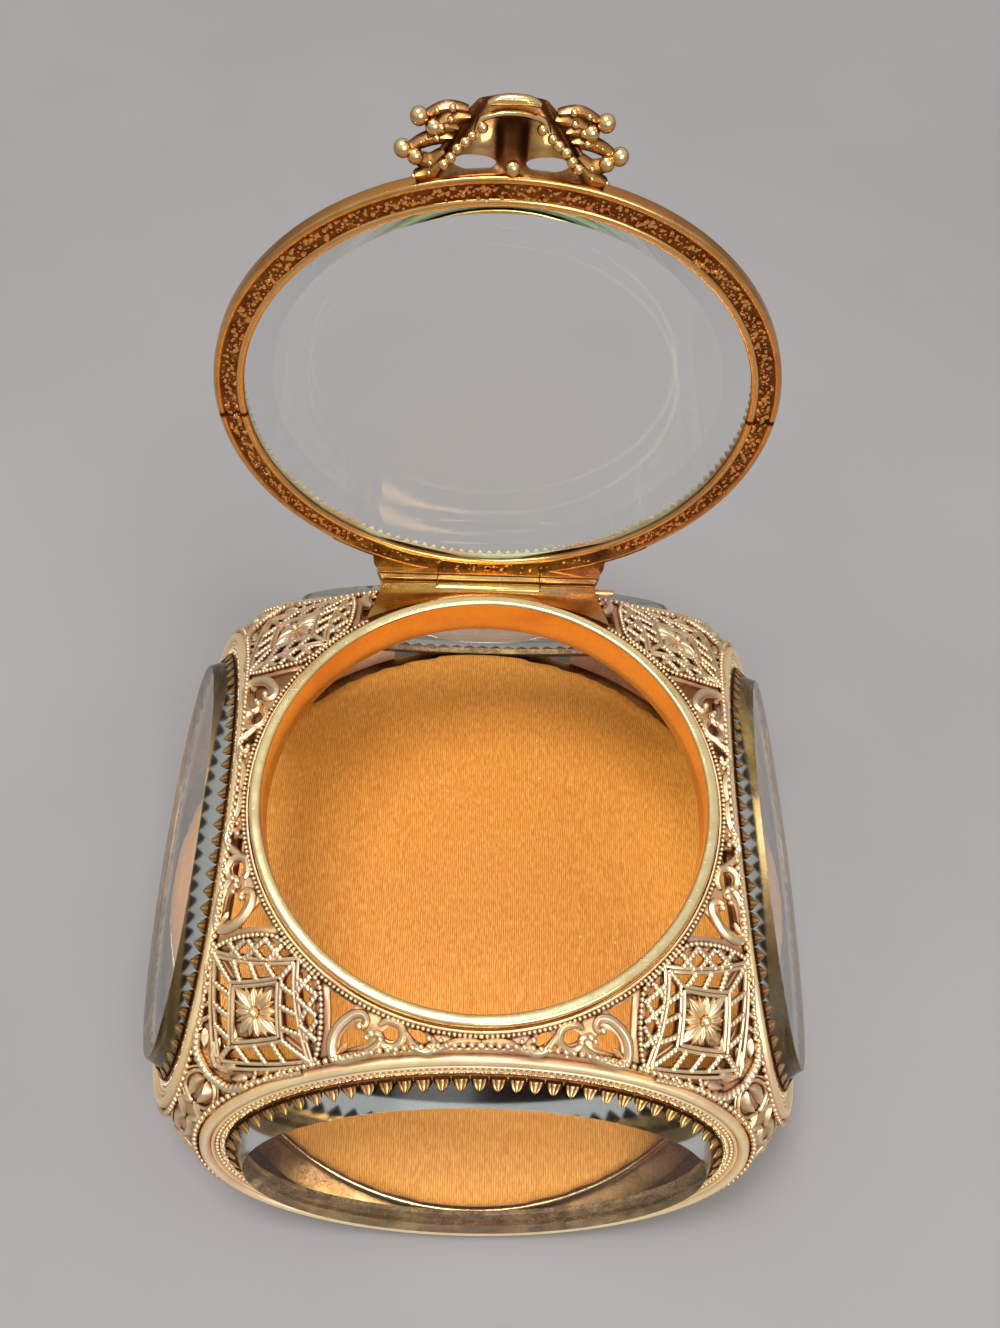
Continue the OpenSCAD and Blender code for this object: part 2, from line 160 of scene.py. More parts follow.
def curve(points, fine=14, closed=False):
    """A smooth curve through the points: on each stretch the cubic whose slope at a point is
    half the way from the point before it to the point after it."""
    p = np.asarray(points, float)
    if closed:
        p = np.concatenate([p[-1:], p, p[:2]])
    elif len(p) == 2:
        return p[0] + (p[1] - p[0]) * np.linspace(0, 1, fine + 1)[:, None]
    else:
        p = np.concatenate([[2 * p[0] - p[1]], p, [2 * p[-1] - p[-2]]])
    t = (np.arange(fine) / fine)[None, :, None]
    a, b, c, d = (p[k:len(p) - 3 + k][:, None] for k in range(4))
    run = 0.5 * (2 * b + (c - a) * t + (2 * a - 5 * b + 4 * c - d) * t ** 2
                 + (3 * b - a - 3 * c + d) * t ** 3)
    return np.concatenate([run.reshape(-1, p.shape[1]), p[-2:-1]])


def spaced(path, normal, step):
    """The same path with its points at equal steps, and the normals there."""
    reach = np.concatenate([[0], np.cumsum(np.linalg.norm(np.diff(path, axis=0), axis=1))])
    at = np.linspace(0, reach[-1], max(3, int(round(reach[-1] / step)) + 1))
    new = [np.stack([np.interp(at, reach, a[:, k]) for k in range(3)], -1)
           for a in (path, normal)]
    return new[0], unit(new[1])


def round_section(count=8):
    """Points round a circle of radius 1."""
    a = np.arange(count) * 2 * math.pi / count
    return np.stack([np.cos(a), np.sin(a)], -1)


def leaf_section(ridges=1, fine=8, low=-0.5):
    """Flat below, and above an arch 1 - x^2 with even ridges cut into it."""
    x = np.linspace(-1, 1, fine * ridges + 1)
    y = (1 - x ** 2) ** 0.7 * (0.72 + 0.28 * np.abs(np.cos(math.pi * (x + 1) * ridges / 2)))
    if ridges == 1:
        y = (1 - np.abs(x)) ** 0.8
    return np.concatenate([np.stack([x, y], -1), [[0.9, low], [-0.9, low]]])


def carried(path, normal, width, height, section, low=0.1, high=1.0, closed=False):
    """A closed section carried along a path: at each point its x is laid along the cross
    product of travel and normal, times the width there, and its y along the normal, times the
    height there."""
    if closed:
        along = unit(np.roll(path, -1, 0) - np.roll(path, 1, 0))
    else:
        along = unit(np.gradient(path, axis=0))
    side = unit(np.cross(along, normal))
    up = np.cross(side, along)
    rows = len(path)
    section = np.broadcast_to(section, (rows,) + np.shape(section)[-2:])
    across = (np.broadcast_to(width, rows)[:, None] * section[..., 0])[..., None]
    above = (np.broadcast_to(height, rows)[:, None] * section[..., 1])[..., None]
    points = path[:, None] + side[:, None] * across + up[:, None] * above
    # Low relief at the foot of the section and high on its top: the gilding paints dirt and
    # painted shade low down, wear and painted highlight on top.
    relief = low + (high - low) * np.clip((section[..., 1] + 0.3) / 1.1, 0, 1)
    return lattice(points, closed, True, relief, ends=not closed)


def twisted(path, normal, radius, lay=0.8, strands=2, round_by=10):
    """A rope: the radius at angle a and distance s along it is
    r (0.72 + 0.28 |cos(strands / 2 (a - 2 pi s / (strands lay)))|)."""
    path, normal = spaced(path, normal, lay / 5)
    s = np.concatenate([[0], np.cumsum(np.linalg.norm(np.diff(path, axis=0), axis=1))])
    a = np.arange(round_by) * 2 * math.pi / round_by
    wave = np.abs(np.cos(strands / 2 * (a - 2 * math.pi * s[:, None] / (strands * lay))))
    section = (0.72 + 0.28 * wave)[..., None] * np.stack([np.cos(a), np.sin(a)], -1)
    return carried(path, normal, radius, radius, section)


def ball(lat=5, lon=8):
    """Points, four-sided and three-sided faces of a ball of radius 1, poles closed."""
    v = np.arange(1, lat) * math.pi / lat
    u = np.arange(lon) * 2 * math.pi / lon
    ring = np.stack([np.outer(np.sin(v), np.cos(u)), np.outer(np.sin(v), np.sin(u)),
                     np.repeat(np.cos(v)[:, None], lon, 1)], -1)
    points, quads, _, _ = lattice(ring, False, True)
    n, k = len(points), np.arange(lon)
    points = np.concatenate([points, [[0, 0, 1], [0, 0, -1]]])
    last = (lat - 2) * lon
    tris = np.concatenate([
        np.stack([k, (k + 1) % lon, np.full(lon, n)], -1),
        np.stack([last + (k + 1) % lon, last + k, np.full(lon, n + 1)], -1)])
    made = shape(points, quads, tris)
    a, b, c = (points[tris[:, i]] for i in range(3))
    if np.einsum("ij,ij->", a, np.cross(b, c)) < 0:
        made = shape(points, quads, tris[:, ::-1])
    return made


BALL = ball()
BIG_BALL = ball(10, 18)


def beads(centres, radius, normal, low=0.15, pattern=None):
    """The same small ball at every centre; its relief rises towards the normal."""
    points, quads, tris, _ = pattern or BALL
    centres = np.asarray(centres, float).reshape(-1, 3)
    radius = np.broadcast_to(radius, len(centres))
    normal = np.broadcast_to(normal, centres.shape)
    placed = centres[:, None] + points[None] * radius[:, None, None]
    start = (np.arange(len(centres)) * len(points))[:, None, None]
    rise = np.einsum("kj,nj->nk", points, normal)
    # Relief low on the far side from the normal, high on the near side: painted shade and dirt
    # below, painted highlight and wear above.
    relief = low + (1 - low) * np.clip(0.5 + 0.6 * rise, 0, 1)
    return facing_out(shape(placed, (quads[None] + start).reshape(-1, 4),
                            (tris[None] + start).reshape(-1, 3), relief.ravel()))


def bead_row(path, normal, radius, pitch, sink=0.2):
    """Balls at one pitch along a path, sunk a little into what carries them."""
    path, normal = spaced(path, normal, pitch)
    return beads(path + normal * radius * (1 - sink), radius, normal)


# The body's surface. Every point of it has an angle from its corner's diagonal, in degrees,
# and a distance down the profile from the rim, in millimetres.

def oval_half(v):
    """Half width of a window oval at height v: a sqrt(1 - (v / b)^2)."""
    return WIN_A * np.sqrt(np.maximum(0, 1 - (v / WIN_B) ** 2))


def body_profile():
    """Distance down the profile, radius, height and level in the window plane. Each level's
    circle passes through the edges of the four ovals, and the top part is lifted to meet the
    rim by 2.4 mm times 1 - t^2 (3 - 2 t), where t runs from 0 at the rim to 1 at 12 mm."""
    v = WIN_B * np.cos(np.linspace(0, math.pi, 1601))
    r = np.hypot(oval_half(v), WIN_DIST - v * math.sin(LEAN))
    t = np.clip((r - APEX_R) / DECK_FADE, 0, 1)
    z = WIN_Z + v * math.cos(LEAN) + DECK_RISE * (1 - t * t * (3 - 2 * t))
    start = np.linspace(0, 1, 20, endpoint=False)
    r = np.concatenate([RIM_R + 0.3 + (APEX_R - RIM_R - 0.3) * start, r])
    z = np.concatenate([DECK_Z + (APEX_Z + DECK_RISE - DECK_Z) * start, z])
    v = np.concatenate([WIN_B + APEX_R - r[:20], v])
    s = np.concatenate([[0], np.cumsum(np.hypot(np.diff(r), np.diff(z)))])
    return s, r, z, v


PROFILE_S, PROFILE_R, PROFILE_Z, PROFILE_V = body_profile()
DOWN = PROFILE_S[-1]


def on_corner(quarter, theta, s, height=0.0):
    """Points and normals of one corner at the given angles and distances, raised by height."""
    theta, s = np.broadcast_arrays(np.asarray(theta, float), np.asarray(s, float))
    step = 0.25
    r, z = np.interp(s, PROFILE_S, PROFILE_R), np.interp(s, PROFILE_S, PROFILE_Z)
    lo, hi = np.clip(s - step, 0, DOWN), np.clip(s + step, 0, DOWN)
    dr = np.interp(hi, PROFILE_S, PROFILE_R) - np.interp(lo, PROFILE_S, PROFILE_R)
    dz = np.interp(hi, PROFILE_S, PROFILE_Z) - np.interp(lo, PROFILE_S, PROFILE_Z)
    a = np.radians(theta + quarter * 90 - 45)
    out = unit(np.stack([-dz * np.cos(a), -dz * np.sin(a), dr], -1))
    points = np.stack([r * np.cos(a), r * np.sin(a), z], -1)
    return points + out * np.asarray(height, float)[..., None], out


def clear_of_hinge(points, margin=0.0):
    """How far points lie outside the seat of the hinge plate and its barrel; inside is
    below 0."""
    x, y = np.abs(points[..., 0]), points[..., 1]
    beside = x - (BARREL_L / 2 + 0.1 + 0.148 * np.maximum(0, APEX_R + 0.3 - y)) - margin
    return np.where(y > 20, beside, 9.0)


def down_window_edge(outset, fine=900):
    """Angle and distance along the edge of the window beside a corner, moved outwards over the
    panel. The edge is where the ellipse (a cos t, b sin t) lies on the body; the move is along
    its normal in the surface, whose two measures are radius times angle, and distance."""
    t = np.linspace(math.pi / 2, -math.pi / 2, fine)[1:-1]
    u, v = WIN_A * np.cos(t), WIN_B * np.sin(t)
    s = np.interp(-v, -PROFILE_V, PROFILE_S)
    r = np.interp(s, PROFILE_S, PROFILE_R)
    theta = math.pi / 4 - np.arcsin(np.clip(u / r, 0, 1))
    across, down = r * np.gradient(theta), np.gradient(s)
    size = np.hypot(across, down)
    theta = np.degrees(theta - outset * down / size / r)
    s = s + outset * across / size
    keep = (theta > 0.2) & (theta < 45) & (s > 0.3) & (s < DOWN - 0.2)
    return theta[keep], s[keep]


# The pierced sheet of a corner

def outline_distance(x, y, outline):
    """Distance of points from a closed outline, above 0 inside it: the nearest of its straight
    pieces gives the distance, and a count of crossings to one side the sign."""
    a, b = outline, np.roll(outline, -1, 0)
    best = np.full(x.shape, 1e9)
    inside = np.zeros(x.shape, bool)
    for (ax, ay), (bx, by) in zip(a, b):
        dx, dy = bx - ax, by - ay
        t = np.clip(((x - ax) * dx + (y - ay) * dy) / (dx * dx + dy * dy + 1e-12), 0, 1)
        best = np.minimum(best, np.hypot(x - ax - t * dx, y - ay - t * dy))
        if abs(dy) > 1e-9:
            cross = ((ay > y) != (by > y)) & (x < ax + (y - ay) * dx / dy)
            inside ^= cross
    return np.where(inside, best, -best)


FLAT = math.radians(1) * 40        # millimetres to a degree, near enough, where it is pierced
CELLS = [                          # straight-edged openings on one half of a corner
    [(0.55, 2.25), (12.0, 9.7), (7.3, 9.7), (0.55, 3.9)],
    [(12.0, 10.9), (7.3, 10.9), (0.55, 16.3), (0.55, 18.2)],
    [(2.0, 1.45), (4.5, 1.55), (7.1, 2.2), (9.7, 4.3), (11.8, 6.6), (13.1, 8.9), (9, 6.35),
     (5, 3.65)],
    [(12.3, 11.75), (12.2, 12.35), (9.3, 14.4), (5.9, 17.5), (5.3, 16.8), (9.0, 14.0)],
    [(9.7, 1.1), (16.4, 1.0), (15.7, 2.6), (15.0, 4.8), (14.2, 5.4), (12.7, 3.6), (11.2, 2.2)],
]
SCROLL_OPENINGS = [                # openings with curved edges
    [(21.5, 3.7), (20.3, 3.3), (18.4, 3.0), (17.0, 4.3), (16.9, 6.0), (18.0, 6.8), (20.3, 5.6),
     (21.9, 4.5)],
    [(25.8, 1.25), (27.3, 1.6), (27.6, 2.4), (26.6, 3.1), (25.0, 3.1), (24.1, 2.3)],
    [(33.4, 1.9), (32.4, 0.95), (30.2, 0.95), (29.5, 1.6), (31.4, 2.2), (32.9, 2.4)],
    [(31.2, 3.2), (29.3, 2.7), (29.0, 3.4), (30.2, 3.75)],
]


def sheet_field(theta, s):
    """Above 0 where the sheet of a corner has metal: outside both window ovals and outside
    every opening."""
    r, v = np.interp(s, PROFILE_S, PROFILE_R), np.interp(s, PROFILE_S, PROFILE_V)
    u = r * np.sin(np.radians(45 - np.abs(theta)))
    field = (np.hypot(u / WIN_A, v / WIN_B) - 1) * WIN_B
    side = np.abs(theta)
    for outline in CELLS:
        line = np.asarray(outline, float) * (FLAT, 1)
        field = np.minimum(field, -outline_distance(side * FLAT, s, line))
    for outline in SCROLL_OPENINGS:
        line = curve(np.asarray(outline, float) * (FLAT, 1), 5, closed=True)
        field = np.minimum(field, -outline_distance(side * FLAT, s, line))
    return field


def cut_out(field, rows_at, cols_at):
    """The part of a grid where the field is above 0, with its border on the field's zero line.
    In each cell the polygon runs round the corners that are inside and the points, in
    proportion to the field, where an edge crosses the line. Gives grid places, faces as lists
    of corners, and the border's directed edges."""
    rows, cols = field.shape
    grid = np.stack(np.meshgrid(rows_at, cols_at, indexing="ij"), -1)
    share = lambda a, b: np.clip(a / np.where(a == b, 1, a - b), 0.04, 0.96)[..., None]
    level = grid[:, :-1] + share(field[:, :-1], field[:, 1:]) * (grid[:, 1:] - grid[:, :-1])
    upright = grid[:-1] + share(field[:-1], field[1:]) * (grid[1:] - grid[:-1])
    places = np.concatenate([grid.reshape(-1, 2), level.reshape(-1, 2), upright.reshape(-1, 2)])
    first, second = rows * cols, rows * cols + rows * (cols - 1)
    i, j = np.meshgrid(np.arange(rows - 1), np.arange(cols - 1), indexing="ij")
    ids = np.stack([i * cols + j, i * cols + j + 1, (i + 1) * cols + j + 1, (i + 1) * cols + j,
                    first + i * (cols - 1) + j, second + i * cols + j + 1,
                    first + (i + 1) * (cols - 1) + j, second + i * cols + j], -1)
    metal = np.stack([field[:-1, :-1], field[:-1, 1:], field[1:, 1:], field[1:, :-1]], -1) > 0
    code = metal @ np.array([1, 2, 4, 8])
    quads, tris = [], []
    for case in range(1, 16):
        turn = []
        for k in range(4):
            if case >> k & 1:
                turn.append(k)
            if (case >> k & 1) != (case >> (k + 1) % 4 & 1):
                turn.append(4 + k)
        found = ids[code == case][:, turn]
        if len(turn) == 4:
            quads.append(found)
        else:
            tris += [found[:, [0, k, k + 1]] for k in range(1, len(turn) - 1)]
    quads, tris = np.concatenate(quads), np.concatenate(tris)
    used, back = np.unique(np.concatenate([quads.ravel(), tris.ravel()]), return_inverse=True)
    quads, tris = back[:quads.size].reshape(-1, 4), back[quads.size:].reshape(-1, 3)
    edges = np.concatenate([quads[:, [k, (k + 1) % 4]] for k in range(4)]
                           + [tris[:, [k, (k + 1) % 3]] for k in range(3)])
    key = edges[:, 0] * len(used) + edges[:, 1]
    border = edges[~np.isin(key, edges[:, 1] * len(used) + edges[:, 0])]
    return places[used], quads, tris, border


TRACES = {q: [] for q in range(4)}      # where raised work lies on each corner


def shadowed(quarter, s, theta):
    """How much painted shade the sheet takes beside raised work, 0 to 1, on a grid of distance
    and angle: every trace is marked on the grid and the marks are spread twice by the
    weights 1, 2, 1."""
    marks = np.zeros((len(s), len(theta)))
    for run in TRACES[quarter]:
        at = np.linspace(0, len(run) - 1, 6 * len(run))
        angle, down = (np.interp(at, np.arange(len(run)), run[:, k]) for k in (0, 1))
        row = np.clip(np.round(np.interp(down, s, np.arange(len(s)))), 0, len(s) - 1)
        col = np.round(np.interp(angle, theta, np.arange(len(theta))))
        marks[row.astype(int), col.astype(int)] = 1
    for _ in range(2):
        wide = np.pad(marks, 1)
        marks = (wide[:-2] + 2 * wide[1:-1] + wide[2:])[:, 1:-1] / 4
        wide = np.pad(marks, 1)
        marks = (wide[:, :-2] + 2 * wide[:, 1:-1] + wide[:, 2:])[1:-1] / 4
    return np.clip(marks * 2.4, 0, 1)


def pierced_sheet(quarter):
    """Front and back of a corner's sheet with walls round every opening. The front is dished
    a little towards the openings' edges, as stamping leaves it."""
    s = np.arange(0, DOWN + 0.29, 0.29)
    s = np.minimum(s, DOWN)
    theta = np.linspace(-45, 45, 217)
    if quarter in (1, 2):
        grid_t, grid_s = np.meshgrid(theta, s, indexing="ij")
        seat = clear_of_hinge(on_corner(quarter, grid_t, grid_s)[0]).T
    else:
        seat = 9.0
    grid_s, grid_t = np.meshgrid(s, theta, indexing="ij")
    field = np.minimum(sheet_field(grid_t, grid_s), seat)
    places, quads, tris, border = cut_out(field, s, theta)
    depth = np.minimum(sheet_field(places[:, 1], places[:, 0]), 0.35)
    front, out = on_corner(quarter, places[:, 1], places[:, 0])
    front = front + out * (0.4 * np.clip(depth, 0, 0.3) - 0.12)[:, None]
    behind = on_corner(quarter, places[:, 1], places[:, 0], -SHEET)[0]
    n = len(places)
    walls = np.stack([border[:, 1], border[:, 0], border[:, 0] + n, border[:, 1] + n], -1)
    # Painted shade beside the raised work lowers the sheet's relief, so the gilding darkens it
    # there.
    dark = shadowed(quarter, s, theta)
    row = np.round(np.interp(places[:, 0], s, np.arange(len(s)))).astype(int)
    col = np.round(np.interp(places[:, 1], theta, np.arange(len(theta)))).astype(int)
    relief = 0.5 + 0.5 * np.clip(depth, 0, 0.3) - 0.75 * dark[row, col]
    relief = np.concatenate([relief, np.full(n, 0.45)])
    return facing_out(shape(np.concatenate([front, behind]),
                            np.concatenate([quads, quads[:, ::-1] + n, walls]),
                            np.concatenate([tris, tris[:, ::-1] + n]), relief))


# The raised work on a corner, given as angle and distance for one half and mirrored

def strokes(quarter, points, both=True, fine=14, closed=False):
    """Smooth paths through the points on a corner, on its one or two halves, cut short where
    the hinge plate lies."""
    found = []
    for sign in (1, -1) if both else (1,):
        run = curve(points, fine, closed) * (sign, 1)
        TRACES[quarter].append(run)
        path, normal = on_corner(quarter, run[:, 0], run[:, 1])
        keep = clear_of_hinge(path, 0.4) > 0
        if keep.all():
            found.append((path, normal))
        elif keep.sum() > 8:
            edge = np.flatnonzero(np.diff(np.concatenate([[0], keep.astype(int), [0]])))
            runs = edge.reshape(-1, 2)
            lo, hi = runs[np.argmax(runs[:, 1] - runs[:, 0])]
            if hi - lo > 8:
                found.append((path[lo:hi], normal[lo:hi]))
    return found


def wires(quarter, points, radius, sit=0.35, both=True, step=0.5, closed=False):
    """Round wires laid on the sheet."""
    made = []
    for path, normal in strokes(quarter, points, both, closed=closed):
        if closed:
            path, normal = path[:-1], normal[:-1]
        else:
            path, normal = spaced(path, normal, step)
        made.append(carried(path + normal * radius * sit, normal, radius, radius,
                            round_section(), closed=closed))
    return made


def ropes(quarter, points, radius=0.27, both=True, lay=0.62):
    """Twisted wires laid on the sheet or across an opening."""
    return [twisted(path + normal * radius * 0.5, normal, radius, lay)
            for path, normal in strokes(quarter, points, both)]


def scrolls(quarter, points, width=0.5, height=0.6, both=True, thin=0.5):
    """Scrolls with a rounded top and a groove along the middle; the width is least at both
    ends: w (thin + (1 - thin) sin(pi t)^0.5)."""
    made = []
    for path, normal in strokes(quarter, points, both):
        path, normal = spaced(path, normal, 0.28)
        t = np.linspace(0, 1, len(path))
        wide = width * (thin + (1 - thin) * np.sqrt(np.sin(math.pi * np.clip(t, 0.001, 0.999))))
        made.append(carried(path, normal, wide, height * (wide / width) ** 0.5,
                            leaf_section(2, 5), low=0.25))
    return made


def leaves(quarter, points, width, height=0.5, both=True, ridges=1, belly=0.8, step=0.22):
    """Leaves and petals along a path: the half width is w sin(pi t^belly)^0.75 and the height
    rises as sin(pi t)^0.5."""
    made = []
    for path, normal in strokes(quarter, points, both):
        path, normal = spaced(path, normal, step)
        t = np.linspace(0.012, 0.988, len(path))
        wide = width * np.sin(math.pi * t ** belly) ** 0.75
        made.append(carried(path, normal, wide, height * np.sqrt(np.sin(math.pi * t)) + 0.02,
                            leaf_section(ridges, 8 if ridges == 1 else 6), low=0.2))
    return made


def knobs(quarter, at, radius, both=True, sink=0.3):
    """Single balls on the sheet."""
    made = []
    for sign in (1, -1) if both else (1,):
        centre, normal = on_corner(quarter, at[0] * sign, at[1])
        if clear_of_hinge(centre, radius) > 0:
            made.append(beads(centre + normal * radius * (1 - sink), radius, normal,
                              pattern=BIG_BALL))
    return made


def corner_work(quarter):
    """All the raised work of one corner, from the rim down to the foot."""
    q, made = quarter, []
    # edging beads: a fine row under the rim and a larger one round each window
    for path, normal in strokes(q, [(-44.9, 0.5), (0, 0.5), (44.9, 0.5)], False, 60):
        made.append(bead_row(path, normal, 0.31, 0.66, 0.2))
    for sign in (1, -1):
        theta, s = down_window_edge(0.52)
        TRACES[q].append(np.stack([theta * sign, s], -1))
        path, normal = on_corner(q, theta * sign, s)
        keep = clear_of_hinge(path, 0.5) > 0
        made.append(bead_row(path[keep], normal[keep], 0.45, 1.04, 0.2))
    # the lattice: two diamonds of double wires with roped cross pieces
    for line in ([(0, 0.8), (14.3, 10.3), (0, 20.1)], [(0, 1.6), (13.2, 10.3), (0, 19.0)],
                 [(0, 3.9), (7.3, 10.3), (0, 16.6)], [(0, 4.8), (6.3, 10.3), (0, 15.7)]):
        for a, b in zip(line[:-1], line[1:]):
            made += wires(q, [a, b], 0.29, 0.6)
    made += ropes(q, [(7.3, 10.3), (14.0, 10.3)], 0.46)
    made += ropes(q, [(0, 1.5), (0, 4.2)], 0.46, False)
    made += ropes(q, [(0, 16.2), (0, 19.6)], 0.46, False)
    for near, far in ((0.33, 0.13), (0.53, 0.46), (0.74, 0.8)):
        made += ropes(q, [(13.2 * near, 1.6 + 8.7 * near), (7.3 * far, 3.9 + 6.4 * far)], 0.46)
        made += ropes(q, [(13.2 * near, 19.0 - 8.7 * near), (7.3 * far, 16.6 - 6.3 * far)],
                      0.46)
    # the fans outside the upper bars, edged with beads
    arc = [(1.0, 0.85), (4.8, 0.95), (7.9, 1.6), (10.5, 3.4), (12.5, 5.6), (13.8, 8.0),
           (14.4, 10.2)]
    for path, normal in strokes(q, arc):
        made.append(bead_row(path, normal, 0.38, 0.7, 0.2))
    for line in ([(2.8, 2.55), (8.4, 2.6)], [(5.3, 4.45), (10.7, 4.7)],
                 [(8.8, 7.0), (13.0, 7.3)], [(4.7, 1.3), (4.5, 3.9)], [(8.2, 2.4), (8.3, 6.4)],
                 [(11.1, 4.9), (11.0, 8.2)]):
        made += ropes(q, line, 0.47)
    # the strips under the lower bars
    made += ropes(q, [(13.0, 12.3), (9.7, 14.9), (5.8, 18.5)], 0.36)
    for k in (0.18, 0.42, 0.66, 0.88):
        made += ropes(q, [(12.6 - 7.4 * k, 11.4 + 5.4 * k), (13.0 - 7.2 * k, 12.4 + 6.1 * k)],
                      0.36)
    made += leaves(q, [(5.4, 17.9), (4.6, 18.8), (3.3, 19.7)], 0.75, 0.45)
    # the rosette
    for a, reach, wide in ((0, 3.9, 0.85), (90, 4.2, 0.85), (180, 3.9, 0.85), (45, 3.1, 0.7),
                           (135, 3.1, 0.7), (22, 3.4, 0.34), (68, 3.4, 0.34), (112, 3.4, 0.34),
                           (158, 3.4, 0.34)):
        x, y = math.sin(math.radians(a)) / FLAT, -math.cos(math.radians(a))
        line = [(x * 0.5, 10.15 + y * 0.5), (x * reach, 10.15 + y * reach)]
        made += leaves(q, line, wide, 0.62, a not in (0, 180), 3, 1.0)
    made += knobs(q, (0, 10.15), 0.72, False)
    # tall leaves in the inner diamond, above and below the rosette
    for top, end in ((5.2, 6.4), (15.2, 14.0)):
        made += leaves(q, [(0.0, top), (1.2, (top + end) / 2), (1.6, end)], 0.42, 0.35)
    # pointed leaves where the bars meet, and the garland under them
    made += leaves(q, [(0.15, 20.3), (1.7, 19.0), (2.3, 16.9)], 0.8, 0.5, True, 1, 0.9)
    made += ropes(q, [(5.8, 19.0), (3.6, 20.9), (0, 21.7)], 0.66, True, 0.8)
    # the boss on the post
    ring = [(0, 21.9), (1.9, 22.8), (2.9, 24.7), (2.3, 26.4), (0.3, 27.5)]
    made += scrolls(q, ring, 0.34, 0.36)
    made += wires(q, [(0.2, 21.3), (2.5, 22.5), (3.6, 24.7), (3.0, 26.8), (1.0, 28.1)], 0.17)
    made += leaves(q, [(0.3, 22.8), (1.2, 24.3), (0.75, 26.6)], 0.95, 1.1, True, 1, 0.9)
    # leaves down the post to the waist and back out to the foot
    made += leaves(q, [(0.1, 27.3), (1.6, 28.3), (2.9, 28.7)], 0.7, 0.42)
    made += leaves(q, [(2.6, 29.0), (1.4, 29.8), (0.1, 31.2)], 0.62, 0.45)
    made += leaves(q, [(0.3, 30.6), (1.35, 32.7), (0.5, 35.6)], 0.78, 0.6)
    made += wires(q, [(2.6, 30.0), (2.5, 33.0), (2.2, 36.4)], 0.2)
    made += leaves(q, [(0, 35.4), (0, 37.9)], 0.8, 0.5, False)
    made += scrolls(q, [(0, 37.6), (1.8, 38.7), (2.1, 40.0), (1.5, 41.4), (0, 42.4)], 0.3, 0.36)
    made += leaves(q, [(0, 38.4), (0, 41.7)], 0.95, 0.75, False, 3, 1.0)
    made += leaves(q, [(0, 44.8), (0, 42.3)], 0.8, 0.5, False)
    made += leaves(q, [(0.5, 44.4), (1.5, 47.2), (0.4, 49.3)], 0.78, 0.6)
    made += wires(q, [(2.2, 43.4), (2.9, 46.4), (3.9, 49.4)], 0.2)
    made += leaves(q, [(0, 49.0), (0, 55.6)], 1.0, 0.6, False)
    for k, (a, b) in enumerate(((2.6, 1.0), (5.4, 1.7), (8.6, 2.2))):
        made += leaves(q, [(0.8 + 0.5 * k, 49.6 + 0.5 * k), (a, 53.2 + 0.4 * k),
                           (a + b, 55.8)], 0.9, 0.5)
    # scrolls between the lattice and the middle of each window
    made += scrolls(q, [(22.3, 2.9), (23.9, 2.9), (24.3, 3.9), (22.7, 5.6), (20.4, 6.9),
                        (18.3, 8.0), (17.0, 8.1), (15.9, 7.1), (15.3, 5.4), (15.7, 3.7),
                        (17.0, 2.1), (18.8, 1.5), (20.2, 2.0), (20.1, 2.8), (19.2, 2.9)], 0.72)
    made += knobs(q, (19.3, 2.9), 0.48) + knobs(q, (22.2, 3.0), 0.55)
    made += leaves(q, [(18.5, 5.6), (17.9, 6.7), (17.3, 7.5)], 0.42, 0.4)
    made += knobs(q, (21.5, 3.75), 0.4)
    made += scrolls(q, [(23.0, 1.7), (24.2, 1.0), (26.8, 0.85), (28.3, 1.6), (28.6, 2.5),
                        (28.0, 3.3), (26.8, 3.85), (25.2, 3.85), (24.2, 3.3)], 0.6)
    made += knobs(q, (24.3, 3.25), 0.42)
    made += scrolls(q, [(34.0, 1.3), (35.0, 1.8), (34.9, 2.7), (33.4, 3.1), (31.4, 2.9),
                        (29.8, 2.1), (28.6, 1.5)], 0.6)
    made += knobs(q, (33.9, 1.45), 0.42)
    made += scrolls(q, [(44.9, 1.2), (42.0, 1.15), (39.0, 1.5), (36.6, 2.4), (35.2, 2.9)],
                    0.55)
    made += knobs(q, (36.4, 1.4), 0.34) + knobs(q, (27.9, 4.3), 0.3)
    return made


def edge_skirt(quarter):
    """The turned-down edge of the sheet over the windows: a thin strip from the lifted sheet
    straight down to just under the window's plane."""
    made = []
    t = np.linspace(math.pi / 2, 0.35, 90)
    u, v = WIN_A * np.cos(t), WIN_B * np.sin(t)
    s = np.interp(-v, -PROFILE_V, PROFILE_S)
    r = np.interp(s, PROFILE_S, PROFILE_R)
    for sign in (1, -1):
        theta = sign * (45 - np.degrees(np.arcsin(np.clip(u / r, 0, 1))))
        top, out = on_corner(quarter, theta, s)
        keep = clear_of_hinge(top, 0.1) > 0
        top = top[keep]
        low = top.copy()
        low[:, 2] = WIN_Z + v[keep] * math.cos(LEAN) - 0.5
        inward = unit(top * (-1, -1, 0)) * 0.25
        ring = np.stack([top, top + inward, low + inward, low], 1)
        made.append(lattice(ring, False, True, np.array([[0.5, 0.3, 0, 0.1]]), ends=True))
    return made


# The side windows. A point of a window has its place in the oval's plane and a height over it.

def on_window(side, x, y, h):
    """Points of a window plane, which leans in by 21.5 degrees, turned to their side."""
    a = side * math.pi / 2
    across, up = x, WIN_Z + y * math.cos(LEAN) + h * math.sin(LEAN)
    out = -WIN_DIST + y * math.sin(LEAN) - h * math.cos(LEAN)
    across, out, up = np.broadcast_arrays(across, out, up)
    return np.stack([across * math.cos(a) - out * math.sin(a),
                     across * math.sin(a) + out * math.cos(a), up], -1)


def even_turns(count, inset):
    """Angles of an ellipse (a - i) cos t, (b - i) sin t at equal distances along it, starting
    at the middle of its bottom."""
    t = np.linspace(-math.pi / 2, 1.5 * math.pi, 4001)
    gap = np.hypot(np.diff((WIN_A - inset) * np.cos(t)), np.diff((WIN_B - inset) * np.sin(t)))
    reach = np.concatenate([[0], np.cumsum(gap)])
    return np.interp(np.arange(count) * reach[-1] / count, reach, t)


